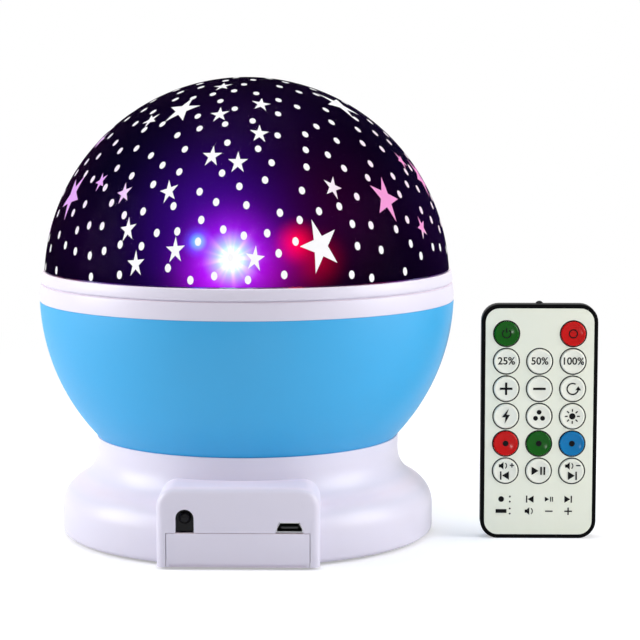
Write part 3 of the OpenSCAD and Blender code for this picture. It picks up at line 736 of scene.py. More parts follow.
@dataclass(frozen=True)
class DomePrintPaintedGlow:
    """The dark print inside the dome, with the light of three groups of lamps painted on it as
    glow.
    """

    name: str = "dome_print"
    dark: Colour = (0.0002, 0.0001, 0.0012)
    groups: int = 3
    falloff: float = 2.2
    star_at: Point2 = (-1.2, 91.8)
    ray_reach: float = 16.0
    ray_colour: Colour = (1.0, 0.25, 0.9)
    painted_haze: Colour = (0.0042, 0.0004, 0.013)

    @staticmethod
    def _spokes(angle: Term, count: int, start: float, narrowness: int) -> Term:
        """Rays spread evenly round a point: 1 along each and 0 between them.

        Args:
            angle: the direction from the point, in radians.
            count: number of rays.
            start: how far they are turned, in radians of their own wave.
            narrowness: how thin they are.

        Returns:
            The strength from 0 to 1.
        """
        return ((angle * count + start).sine() * 0.5 + 0.5) ** narrowness

    def _group(self, paint: Paint, place: tuple[Term, Term, Term], turn: float) -> Term:
        """The painted glow of one group of lamps.

        Args:
            paint: the material being built.
            place: X, Y and Z on the piece, in millimetres.
            turn: how far the group is turned round the dome, in degrees.

        Returns:
            The emitted colour.
        """
        x, y, z = place
        c, s = math.cos(math.radians(turn)), math.sin(math.radians(turn))
        across = x * c + y * s
        facing = (y * c - x * s).rise(-8, -34)
        lights = []
        for glow in GLOWS:
            away = ((across - glow.across) ** 2 + ((z - glow.height) * glow.squash) ** 2).root()
            strength = away.rise(glow.reach, 0) ** (self.falloff * glow.sharpness)
            lights.append(paint.tint(glow.colour, strength))
        # Painted light: starburst rays round the brightest lamp.
        run, lift = across - self.star_at[0], z - self.star_at[1]
        angle = paint.node("ShaderNodeMath", {"operation": "ARCTAN2"}, [lift, run])
        spokes = self._spokes(angle, 8, 0.7, 3) + self._spokes(angle, 13, 2.0, 4) * 0.7
        distance = (run ** 2 + lift ** 2).root()
        rays = spokes * distance.rise(self.ray_reach, 2) ** 3 * 0.35
        lights.append(paint.tint(self.ray_colour, rays))
        return paint.tint(paint.sum(*lights), facing)

    def material(self) -> bpy.types.Material:
        """Builds the material.

        Returns:
            The material.
        """
        paint = Paint(self.name)
        place = paint.axes()
        glow_mottle = paint.noise(9, 4) * 0.36 + 0.82
        groups = [self._group(paint, place, 360 / self.groups * i) for i in range(self.groups)]
        light = paint.tint(paint.sum(*groups), glow_mottle)
        # A faint painted haze of glow over the whole print.
        cloud = paint.tint(self.painted_haze, paint.noise(24, 3))
        paint.shade(
            Base_Color=self.dark,
            Roughness=0.25 + paint.noise(3, 2) * 0.05,
            Specular_IOR_Level=0.0,
            Emission_Color=paint.sum(light, cloud),
            Emission_Strength=1.0,
        )
        return paint.material


@dataclass(frozen=True)
class StarLight:
    """The clear stars and dots, with the lamps' light through them painted as glow: white from the
    front, lilac and pink towards the dome's flanks.
    """

    name: str = "star_light"
    tinge: float = 1.0
    white: Colour = (0.97, 0.97, 0.99)
    lilac: Colour = (0.80, 0.40, 0.94)
    pink: Colour = (0.92, 0.33, 0.70)
    flank: Point2 = (22, 42)
    crown: Point2 = (134, 120)
    hem: Point2 = (108, 112)

    def material(self) -> bpy.types.Material:
        """Builds the material.

        Returns:
            The material.
        """
        paint = Paint(self.name)
        x, y, z = paint.axes()
        side = x.absolute()
        flank = side.rise(*self.flank) * z.rise(*self.crown)
        flank = flank * (z + side * 0.25).rise(*self.hem) * self.tinge
        tinted = paint.mix(x.rise(-4, 4), self.lilac, self.pink)
        speckle = paint.noise(2.2, 2) * 0.12 + 0.92
        paint.shade(
            Base_Color=(0.02, 0.02, 0.02),
            Roughness=0.4 + paint.noise(1.5, 2) * 0.1,
            Specular_IOR_Level=0.0,
            # Painted light: the windows glow as emission, standing in for lamp light shining
            # through them.
            Emission_Color=paint.tint(paint.mix(flank, self.white, tinted), speckle),
            Emission_Strength=1.0,
        )
        return paint.material


@dataclass(frozen=True)
class ClearCover:
    """The thin clear outer dome, of which only the gloss shows."""

    name: str = "clear_cover"
    gloss: float = 0.014

    def material(self) -> bpy.types.Material:
        """Builds the material.

        Returns:
            The material.
        """
        paint = Paint(self.name)
        shine = paint.node("ShaderNodeFresnel", {}, {"IOR": 1.45})
        outside = 1 - paint.node("ShaderNodeNewGeometry", {}, [], "Backfacing")
        scuffs = paint.noise(5, 4)
        paint.shade(
            Base_Color=(1, 1, 1),
            Metallic=1.0,
            Roughness=0.03 + scuffs * 0.05,
            Alpha=shine * outside * self.gloss,
        )
        return paint.material


class Finish(Enum):
    """Every finish on the object."""

    WHITE = Moulded("white_shell", (0.72, 0.685, 0.80), 0.33, 0.015, specular=0.45,
                    painted_top_light=(0.92, 0.80, 0.88))
    BLUE = Moulded("blue_bowl", (0.0, 0.355, 0.72), 0.5, 0.03, specular=0.9)
    PAD = Moulded("rubber_pad", (0.55, 0.55, 0.58), 0.85, 0.05, 0.08, 0.8, specular=0.3)
    BLACK = Moulded("black_gloss", (0.003, 0.003, 0.004), 0.14, 0.1, 0.004, specular=0.15)
    MATT_BLACK = Moulded("black_matt", (0.02, 0.02, 0.022), 0.55, 0.1, 0.03)
    REMOTE_CASE = Moulded("remote_case_black", (0.003, 0.003, 0.0035), 0.35, 0.1, 0.006,
                          specular=0.03)
    REMOTE_FACE = Moulded("remote_face_cream", (0.93, 0.955, 0.815), 0.2, 0.015, 0.004,
                          specular=0.3)
    KEY_CREAM = Moulded("cream_key", (0.93, 0.94, 0.83), 0.3, 0.02, 0.006, specular=0.3)
    KEY_RED = Moulded("red_key", (0.60, 0.003, 0.003), 0.13, 0.06, 0.004, specular=0.15)
    KEY_GREEN = Moulded("green_key", (0.001, 0.105, 0.002), 0.13, 0.06, 0.004, specular=0.15)
    KEY_BLUE = Moulded("blue_key", (0.002, 0.19, 0.47), 0.13, 0.06, 0.004, specular=0.15)
    INK = Moulded("dark_ink", (0.005, 0.005, 0.006), 0.5, 0.1, 0.004, specular=0.08)
    GREY_MARK = Moulded("grey_mark", (0.32, 0.31, 0.38), 0.5, 0.04, 0.004, specular=0.3)
    GEAR = Moulded("gear_acetal", (0.80, 0.77, 0.68), 0.45, 0.03, 0.02)
    CELL = Moulded("cell_wrap_print", (0.55, 0.33, 0.06), 0.25, 0.06, 0.01)
    STEEL = Plated("plated_steel", (0.62, 0.62, 0.64))
    BOARD = Board("green_board")
    LENS_WHITE = Lens("lens_white", (0.75, 0.95, 1.0), 6.0)
    LENS_RED = Lens("lens_red", (1.0, 0.04, 0.02), 6.0)
    LENS_GREEN = Lens("lens_green", (0.25, 1.0, 0.65), 6.0)
    LENS_BLUE = Lens("lens_blue", (0.05, 0.12, 1.0), 6.0)
    PRINT = DomePrintPaintedGlow()
    STARS = StarLight()
    DOTS = StarLight("dot_light", 0.25)
    COVER = ClearCover()

    def dress(self, piece: Piece) -> None:
        """Gives a piece this finish alone.

        Args:
            piece: the piece.
        """
        name = self.value.name
        material = bpy.data.materials.get(name) or self.value.material()
        piece.data.materials.clear()
        piece.data.materials.append(material)


def settle(piece: Piece, finish: Finish, body: str,
           nodes: Iterable[str] = ()) -> None:
    """Gives a finished piece its finish, its body and the nodes that it stands for.

    Args:
        piece: the piece.
        finish: its finish.
        body: the body it moves with.
        nodes: the frame's nodes that it replaces.
    """
    Bench.clear()
    finish.dress(piece)
    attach(piece, body)
    if nodes:
        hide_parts(*nodes)
    LOG.info("%s: %d faces on %s", piece.name, len(piece.data.polygons), body)


@dataclass
class Base:
    """The white base with the box on its back, its door and its buttons."""

    foot_radius: float = 58.5
    neck_radius: float = 47.6
    top: float = 31.2
    bottom: float = 0.8
    wall: float = 2.2
    ceiling: float = 2.0
    edge_round: float = 1.6
    shoulder_round: float = 9.5
    shoulder_height: float = 9.0
    flare_round: float = 10.0
    box_width: float = 48.0
    box_top: float = 24.5
    box_back: float = -58.8
    box_side: float = 2.7
    box_corner: float = 6.0
    box_skin: float = 2.0
    door_top: float = 10.8
    gap: float = 0.3
    seam: float = 0.14
    box_soft: float = 2.1
    box_reach: float = 8.0
    hollow_reach: float = 12.0
    lip_depth: float = 1.6
    lip_soft: float = 0.2
    plate_end: float = 3.5
    plate_top: float = 2.0
    grip: Point3 = (1.0, 1.7, 0.4)
    eye_x: float = -15.6
    eye_width: float = 5.4
    eye_height: float = 6.9
    socket_x: float = 15.1
    socket_width: float = 8.1
    socket_low: float = 11.1
    socket_high: float = 14.3
    socket_side: float = 1.1
    socket_slant: float = 0.74
    socket_play: float = 0.2
    mouth_play: Point2 = (0.15, 0.1)
    mouth_side: float = 0.35
    mouth_slant: Point2 = (0.96, 1.05)
    mouth_wall: float = 0.2
    liner_wall: float = 0.12
    liner_front: float = 0.15
    liner_back: float = 0.6
    tongue: tuple[Point2, Point2] = ((-2.4, 0.95), (2.4, 1.5))
    tongue_front: float = 0.9
    tongue_back: float = 0.3
    button_radius: float = 3.5
    button_pitch: float = 12.0
    button_height: float = 8.5
    button_proud: float = 1.0
    button_sign: float = 0.8
    button_length: float = 8.2
    button_crown: float = 0.35
    hole_start: float = 47.0
    hole_length: float = 14.0

    def side(self, inset: float) -> list[Point2]:
        """The base's side from its bottom edge to the neck's top, moved inwards by inset.

        Args:
            inset: how far it lies inside the base's own side.

        Returns:
            Radius and height of each point, from the bottom up.
        """
        centre = (self.foot_radius - self.shoulder_round, self.shoulder_height)
        run = self.neck_radius + self.flare_round - centre[0]
        lift = math.sqrt((self.shoulder_round + self.flare_round) ** 2 - run ** 2)
        turn = math.degrees(math.atan2(lift, run))
        flare = (self.neck_radius + self.flare_round, self.shoulder_height + lift)
        edge = self.edge_round
        if inset:
            low = [(self.foot_radius - inset, self.bottom - PAST)]
        else:
            low = arc((self.foot_radius - edge, self.bottom + edge), edge, -90, 0, 6)
        return (low + arc(centre, self.shoulder_round - inset, 0, turn, 14)
                + arc(flare, self.flare_round + inset, turn + 180, 180, 14))

    def box(self, name: str, inset: float, front: float, low: float) -> Piece:
        """The box on the back as a solid, or its hollow.

        Args:
            name: the piece's name.
            inset: how far it lies inside the box's own faces, 0 for the solid.
            front: Y of its end inside the base.
            low: height of its open underside.

        Returns:
            The piece, at its place.
        """
        corner = self.box_corner - inset
        half, top = self.box_width / 2 - inset, self.box_top - inset
        outline = [(-half, low), (half, low)]
        outline += arc((half - corner, top - corner), corner, 0, 90, 10)
        outline += arc((corner - half, top - corner), corner, 90, 180, 10)
        piece = Bench.slab(name, outline, 0, front - (self.box_back + inset))
        piece.data.transform(Bench.stand(Side.BACK, (0, front, 0)))
        return piece

    def shell(self) -> None:
        """Builds the white housing with its windows and holes."""
        outline = [(0, self.bottom), *self.side(0), (self.neck_radius, self.top), (0, self.top)]
        solid = Bench.lathe("base_shell", outline, ROUND_LARGE)
        box = self.box("box", 0, self.box_reach - self.neck_radius, self.bottom)

        def rim(one: Vector, two: Vector) -> bool:
            """Is this edge on the box's back face, apart from its bottom edge?"""
            on_back = max(abs(one.y - self.box_back), abs(two.y - self.box_back)) < NEAR
            return on_back and max(one.z, two.z) > self.bottom + NEAR

        Bench.bevel(box, rim, self.box_soft, 5)
        Bench.combine(solid, box, Op.JOIN)
        low, ceiling = self.bottom - PAST, self.top - self.ceiling
        neck = self.neck_radius - self.wall
        outline = [(0, low), *self.side(self.wall), (neck, ceiling), (0, ceiling)]
        hollow = Bench.lathe("hollow", outline, ROUND_MEDIUM)
        inner = self.box("inner", self.box_skin, self.hollow_reach - self.neck_radius, low)
        tight = (self.gap - self.seam) / 2
        half = self.box_width / 2 - self.box_side - tight
        inside, lintel = self.box_back + self.box_skin + PAST, self.door_top + self.gap - tight
        door = Bench.block("door", (-half, self.box_back - PAST, -PAST), (half, inside, lintel))
        Bench.cut(solid, hollow, inner, door, self.eye(), self.socket())
        for x in self.button_places():
            Bench.cut(solid, Bench.rod("hole", (x, self.hole_start, self.button_height),
                                       self.button_radius + self.gap, self.hole_length))
        Bench.smooth(solid, 28)
        settle(solid, Finish.WHITE, "projector", ["base_housing"])

    def through(self, name: str, outline: Sequence[Point2], x: float) -> Piece:
        """A tool of this outline that cuts through the box's back at x.

        Args:
            name: the tool's name.
            outline: across and height of each point.
            x: how far it sits to the side.

        Returns:
            The tool.
        """
        piece = Bench.slab(name, outline, 0, self.box_skin + 2 * PAST)
        piece.data.transform(Bench.stand(Side.BACK, (x, self.box_back + self.box_skin + PAST, 0)))
        return piece

    def eye(self) -> Piece:
        """The receiver's window: straight sides and a round head.

        Returns:
            The tool that cuts it.
        """
        half = self.eye_width / 2
        head = self.door_top + self.gap + self.eye_height - half
        outline = [(-half, self.door_top), (half, self.door_top)] + arc((0, head), half, 0, 180, 20)
        return self.through("eye", outline, self.eye_x)

    def socket(self) -> Piece:
        """The power socket's opening: wide below, with its upper corners cut off.

        Returns:
            The tool that cuts it.
        """
        low, high = self.socket_low - self.socket_play, self.socket_high
        half = self.socket_width / 2
        side, slant = low + self.socket_side, half * self.socket_slant
        outline = [(-half, low), (half, low), (half, side), (slant, high), (-slant, high),
                   (-half, side)]
        return self.through("socket", outline, self.socket_x)

    def button_places(self) -> list[float]:
        """How far each button sits to the side."""
        return [(i - 1.5) * self.button_pitch for i in range(4)]

    def power_socket(self) -> None:
        """Builds the socket's metal mouth with its black inside and contact tongue."""
        low, high = (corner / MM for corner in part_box("usb_socket"))
        play, top_play = self.mouth_play
        height, depth = self.socket_high - top_play - low.z, high.y - low.y
        wall, (share, cut) = self.mouth_wall, self.mouth_slant

        def ring(inset: float) -> list[Point2]:
            """The mouth's outline, moved inwards by inset.

            Args:
                inset: how far it lies inside the mouth.

            Returns:
                Across and height of each point.
            """
            half, top = self.socket_width / 2 - play - inset, height - inset
            side, slant = height * self.mouth_side, half * share - cut + inset
            return [(-half, inset), (half, inset), (half, side), (slant, top), (-slant, top),
                    (-half, side)]

        stand = Bench.stand(Side.BACK, (self.socket_x, low.y, low.z))
        mouth = Bench.slab("socket_mouth", ring(0), -depth, 0)
        Bench.cut(mouth, Bench.slab("cavity", ring(wall), wall - depth, PAST))
        mouth.data.transform(stand)
        Bench.smooth(mouth)
        settle(mouth, Finish.STEEL, "projector", ["usb_socket"])
        back, (near, far) = wall - depth, self.tongue
        liner = Bench.slab("socket_liner", ring(wall + NEAR), back + NEAR, -self.liner_front)
        inside = ring(wall + self.liner_wall)
        Bench.cut(liner, Bench.slab("cavity", inside, back + self.liner_back, PAST))
        tongue = Bench.block("tongue", (*near, back + self.tongue_back), (*far, -self.tongue_front))
        liner = Bench.gather("socket_liner", [liner, tongue])
        liner.data.transform(stand)
        settle(liner, Finish.MATT_BLACK, "projector")

    def door(self) -> None:
        """Builds the battery door: a lip with soft edges and a plate below the cells."""
        tight = (self.gap - self.seam) / 2
        half = self.box_width / 2 - self.box_side - self.gap + tight
        back, (grip_low, grip_high, grip_depth) = self.box_back, self.grip
        lip = Bench.block("battery_cover", (-half, back, self.bottom),
                          (half, back + self.lip_depth, self.door_top + tight))
        Bench.bevel(lip, lambda a, b: max(a.y, b.y) < back + NEAR, self.lip_soft, 3)
        plate = Bench.block("plate", (-half + 0.8, back + 1.2, self.bottom),
                            (half - 0.8, self.plate_end, self.plate_top))
        grip = Bench.block("grip", (-half + 1, back, grip_low),
                           (half - 1, back + grip_depth, grip_high))
        Bench.combine(lip, plate, Op.JOIN)
        Bench.cut(lip, grip)
        Bench.smooth(lip)
        settle(lip, Finish.WHITE, "battery_lid", ["battery_door"])

    def buttons(self) -> None:
        """Builds the four buttons on the side that faces the room, each with its sign."""
        signs = {"light": Signs.sun, "colour": Signs.dots, "turn": Signs.turn, "timer": Signs.clock}
        r, length, crown = self.button_radius, self.button_length, self.button_crown
        top, flange = length + crown + 0.12, r + 0.7
        outline = [(0, 0), (2, 0), (2, 3), (flange, 3), (flange, 4), (r, 4), (r, length)]
        outline += [(r * (1 - 0.14 * t), length + crown * math.sin(t * math.pi / 2))
                    for t in (0.3, 0.6, 1)]
        outline += [(r * 0.45, length + crown + 0.1), (0, top)]
        for x, (name, sign) in zip(self.button_places(), signs.items()):
            front = math.sqrt(self.foot_radius ** 2 - x ** 2) + self.button_proud
            cap = Bench.lathe(f"{name}_button_cap", outline, 56)
            cap.data.transform(Bench.stand(Side.FRONT, (x, front - top, self.button_height)))
            Bench.smooth(cap, 40)
            settle(cap, Finish.WHITE, f"{name}_button", [f"button_{name}"])
            mark = Signs.sized(sign(f"{name}_button_sign"), self.button_sign)
            mark.data.transform(Bench.stand(Side.FRONT, (x, front - 0.04, self.button_height)))
            settle(mark, Finish.GREY_MARK, f"{name}_button")

    def build(self) -> None:
        """Builds the whole base."""
        self.shell()
        self.power_socket()
        self.door()
        self.buttons()


class Signs:
    """Plain signs as flat plates that face +Z, about 4 mm across and centred on the origin."""

    depth: float = 0.12

    @staticmethod
    def plate(name: str, outline: Sequence[Point2]) -> Piece:
        """A plate of this outline."""
        half = Signs.depth / 2
        return Bench.slab(name, outline, -half, half)

    @staticmethod
    def sized(sign: Piece, size: float) -> Piece:
        """Widens a sign and leaves its thickness."""
        sign.data.transform(Matrix.Diagonal((size, size, 1, 1)))
        return sign

    @staticmethod
    def band(name: str, radius: float, width: float, start: float, end: float,
             centre: Point2 = (0, 0)) -> Piece:
        """Part of a flat ring.

        Args:
            name: the piece's name.
            radius: radius of its middle line.
            width: its width.
            start: angle of its first end, in degrees.
            end: angle of its last end, in degrees.
            centre: the ring's centre.

        Returns:
            The piece.
        """
        steps = max(6, int(abs(end - start) / 12))
        outer = arc(centre, radius + width / 2, start, end, steps)
        return Signs.plate(name, outer + arc(centre, radius - width / 2, end, start, steps))

    @staticmethod
    def hoop(name: str, radius: float, width: float) -> Piece:
        """A whole flat ring, in two halves that meet."""
        halves = [Signs.band(f"half_{i}", radius, width, 180 * i, 180 * i + 180) for i in range(2)]
        return Bench.gather(name, halves)

    @staticmethod
    def bar(name: str, width: float, height: float, centre: Point2 = (0, 0)) -> Piece:
        """An upright rectangle.

        Args:
            name: the piece's name.
            width: its width.
            height: its height.
            centre: its middle.

        Returns:
            The piece.
        """
        x, y = centre
        w, h = width / 2, height / 2
        return Signs.plate(name, [(x - w, y - h), (x + w, y - h), (x + w, y + h), (x - w, y + h)])

    @staticmethod
    def disc(name: str, radius: float, centre: Point2 = (0, 0)) -> Piece:
        """A round plate."""
        return Signs.plate(name, arc(centre, radius, 0, 345, 23))

    @staticmethod
    def spot(name: str) -> Piece:
        """A lone dot."""
        return Signs.disc(name, 0.9)

    @staticmethod
    def sun(name: str) -> Piece:
        """A disc with eight rays.

        Args:
            name: the sign's name.

        Returns:
            The sign.
        """
        parts = [Signs.disc("disc", 0.85)]
        for i in range(8):
            (x, y), (u, v) = polar(1.25, 45 * i), polar(0.16, 45 * i + 90)
            (p, q) = polar(2.0, 45 * i)
            corners = [(x + u, y + v), (p + u, q + v), (p - u, q - v), (x - u, y - v)]
            parts.append(Signs.plate("ray", corners))
        return Bench.gather(name, parts)

    @staticmethod
    def dots(name: str) -> Piece:
        """Three dots in a triangle."""
        parts = [Signs.disc(f"dot_{i}", 0.62, polar(1.05, 90 + 120 * i)) for i in range(3)]
        return Bench.gather(name, parts)

    @staticmethod
    def turn(name: str) -> Piece:
        """A ring that ends in an arrow.

        Args:
            name: the sign's name.

        Returns:
            The sign.
        """
        ring = Signs.band("ring", 1.5, 0.36, 60, 350)
        tip = Signs.plate("tip", [(0.75, -0.35), (2.25, -0.35), (1.5, 0.75)])
        return Bench.gather(name, [ring, tip])

    @staticmethod
    def clock(name: str) -> Piece:
        """A ring with two hands.

        Args:
            name: the sign's name.

        Returns:
            The sign.
        """
        parts = [Signs.hoop("ring", 1.6, 0.34), Signs.bar("hour", 0.3, 1.1, (0, 0.45)),
                 Signs.bar("minute", 0.9, 0.3, (0.42, -0.02))]
        return Bench.gather(name, parts)

    @staticmethod
    def bolt(name: str) -> Piece:
        """A lightning flash."""
        outline = [(-0.3, -2.0), (1.1, 0.35), (0.2, 0.35), (0.75, 2.0), (-1.05, -0.3), (-0.1, -0.3)]
        return Signs.plate(name, outline)

    @staticmethod
    def plus(name: str) -> Piece:
        """A plus sign: one arm, turned round four times.

        Args:
            name: the sign's name.

        Returns:
            The sign.
        """
        reach, half = 1.95, 0.34
        corners, outline = [(half, -reach), (half, -half), (reach, -half)], []
        for _ in range(4):
            outline += corners
            corners = [(-y, x) for x, y in corners]
        return Signs.plate(name, outline)

    @staticmethod
    def minus(name: str) -> Piece:
        """A minus sign."""
        return Signs.bar(name, 3.9, 0.66)

    @staticmethod
    def on(name: str) -> Piece:
        """An upright bar in an open ring."""
        parts = [Signs.band("ring", 1.3, 0.32, -235, 55), Signs.bar("bar", 0.34, 1.5, (0, 1.0))]
        return Bench.gather(name, parts)

    @staticmethod
    def off(name: str) -> Piece:
        """An open ring."""
        return Signs.hoop(name, 1.25, 0.34)

    @staticmethod
    def arrow(direction: int, x: float, y: float = 0.0, size: float = 1.0) -> Piece:
        """A triangle that points left (-1) or right (+1).

        Args:
            direction: where it points.
            x: its middle across.
            y: its middle upwards.
            size: its length.

        Returns:
            The triangle.
        """
        run, half = direction * size * 0.5, size * 0.62
        outline = [(x - run, y - half), (x + run, y), (x - run, y + half)]
        return Signs.plate("arrow", outline if direction > 0 else outline[::-1])

    @staticmethod
    def speaker(x: float, y: float) -> Piece:
        """A small loudspeaker with one wave.

        Args:
            x: its middle across.
            y: its middle upwards.

        Returns:
            The sign.
        """
        lower = [(-0.75, 0.32), (-0.35, 0.32), (0.2, 0.8)]
        horn = Signs.plate("horn", [(x + u, y - v) for u, v in lower]
                           + [(x + u, y + v) for u, v in reversed(lower)])
        wave = Signs.band("wave", 0.75, 0.2, -50, 50, (x + 0.1, y))
        return Bench.gather("speaker", [horn, wave])

    @staticmethod
    def colon() -> Piece:
        """Two small dots, one above the other."""
        return Bench.gather("colon", [Signs.disc("dot", 0.28, (0, s * 0.8)) for s in (-1, 1)])

    @staticmethod
    def bars(name: str, direction: int) -> Piece:
        """A triangle against a bar.

        Args:
            name: the sign's name.
            direction: where it points: -1 for left, 1 for right.

        Returns:
            The sign.
        """
        parts = [Signs.arrow(direction, direction * -0.3, 0, 1.8),
                 Signs.bar("bar", 0.4, 2.2, (direction * 0.95, 0))]
        return Bench.gather(name, parts)

    @staticmethod
    def skip(name: str, direction: int) -> Piece:
        """A loudspeaker with its level, over a triangle against a bar.

        Args:
            name: the sign's name.
            direction: where it points: -1 for left, 1 for right.

        Returns:
            The sign.
        """
        parts = [Signs.arrow(direction, direction * -0.05, -1.0, 1.4),
                 Signs.bar("bar", 0.3, 1.7, (direction * 0.95, -1.0)),
                 Signs.speaker(-0.6, 1.05),
                 Signs.bar("level", 0.9, 0.24, (1.35, 1.15))]
        if direction < 0:
            parts.append(Signs.bar("level_up", 0.24, 0.9, (1.35, 1.15)))
        return Bench.gather(name, parts)

    @staticmethod
    def play(name: str) -> Piece:
        """A triangle and two bars.

        Args:
            name: the sign's name.

        Returns:
            The sign.
        """
        parts = [Signs.arrow(1, -0.85, 0, 1.7), Signs.bar("one", 0.42, 2.0, (0.65, 0)),
                 Signs.bar("two", 0.42, 2.0, (1.45, 0))]
        return Bench.gather(name, parts)


@dataclass
class Globe:
    """The blue bowl, the fixed rim, the turning band and the lamp dish."""

    radius: float = 65.0
    middle: float = 76.0
    wall: float = 2.0
    low: float = 31.2
    bowl_top: float = 74.0
    rim_top: float = 79.4
    band_low: float = 79.7
    band_top: float = 83.3
    rim_bore: float = 59.7
    rim_low: float = 71.0
    skirt_bore: float = 57.4
    skirt_low: float = 75.0
    inset: float = 0.35
    soft: float = 0.6
    lip_soft: float = 0.55
    bore: float = 8.0
    dish_foot: tuple[Point2, ...] = (
        (14, 74), (14, 79.9), (57, 79.9), (57, 81.9), (56.4, 82.1), (55.6, 81.9), (55.4, 81.3))
    dish_rise: tuple[Point2, ...] = ((21.6, 82.6), (21.1, 83.0))
    band_lip: float = 64.2
    groove: float = 63.25
    groove_low: float = 81.0

    def bowl(self) -> None:
        """Builds the blue bowl as a shell with a flat floor."""
        inner, floor, steps = self.radius - self.wall, self.low + self.wall, 56
        centre = (0.0, self.middle)
        low, high = self.low - self.middle, self.bowl_top - self.middle
        outline = [(self.bore, self.low)]
        outline += arc(centre, self.radius, latitude(low, self.radius),
                       latitude(high, self.radius), steps)
        outline += arc(centre, inner, latitude(high, inner),
                       latitude(floor - self.middle, inner), steps)
        outline += [(self.bore, floor)]
        piece = Bench.smooth(Bench.lathe("bowl", outline, ROUND_LARGE))
        settle(piece, Finish.BLUE, "projector", ["bowl_shell"])

    def rim(self) -> None:
        """Builds the fixed rim with its soft upper edge."""
        edge = math.sqrt(self.radius ** 2 - (self.bowl_top - self.middle) ** 2)
        out = self.radius - self.inset
        low, top, soft = self.bowl_top, self.rim_top, self.soft
        root, lip, skirt = edge - 1.9, self.band_low - 0.05, self.rim_bore + 1.8
        lip_out, lip_in, cut = out - 0.75, out - 2.0, 0.15
        outline = [(root, low), (edge - cut, low), (edge, low + cut), (edge - 0.02, low + 2.4)]
        outline += arc((out - soft, top - soft), soft, 0, 90, 5)
        outline += [(lip_out, top), (lip_out, lip), (lip_in, lip), (lip_in, top)]
        outline += [(self.rim_bore, top), (self.rim_bore, self.rim_low), (skirt, self.rim_low),
                    (skirt, top - 2), (root, top - 2)]
        piece = Bench.smooth(Bench.lathe("rim", outline, ROUND_LARGE))
        settle(piece, Finish.WHITE, "projector", ["rim_ring"])

    def band(self) -> None:
        """Builds the turning band with the groove that takes the dome."""
        out, bore, skirt = self.radius - self.inset, self.skirt_bore, self.skirt_bore + 2
        soft, lip = self.soft, self.lip_soft
        outline = [(bore, self.skirt_low), (skirt, self.skirt_low), (skirt, self.band_low)]
        outline += arc((out - soft, self.band_low + soft), soft, -90, 0, 5)
        outline += arc((self.band_lip - lip, self.band_top - lip), lip, 10, 90, 5)
        outline += [(self.groove, self.band_top), (self.groove, self.groove_low),
                    (bore, self.groove_low)]
        piece = Bench.smooth(Bench.lathe("band", outline, ROUND_LARGE))
        settle(piece, Finish.WHITE, "turntable", ["turning_band"])

    def dish(self) -> None:
        """Builds the white lamp dish with its raised middle."""
        foot, rise = self.dish_foot, self.dish_rise
        outline = [(self.bore, foot[0][1]), *foot, *arc((27, 85.1), 4.0, -90, -160, 6), *rise,
                   (self.bore, rise[-1][1])]
        piece = Bench.smooth(Bench.lathe("lamp_dish", outline, ROUND_MEDIUM), 35)
        settle(piece, Finish.WHITE, "projector", ["reflector"])

    def build(self) -> None:
        """Builds the whole globe below the dome."""
        self.bowl()
        self.rim()
        self.band()
        self.dish()


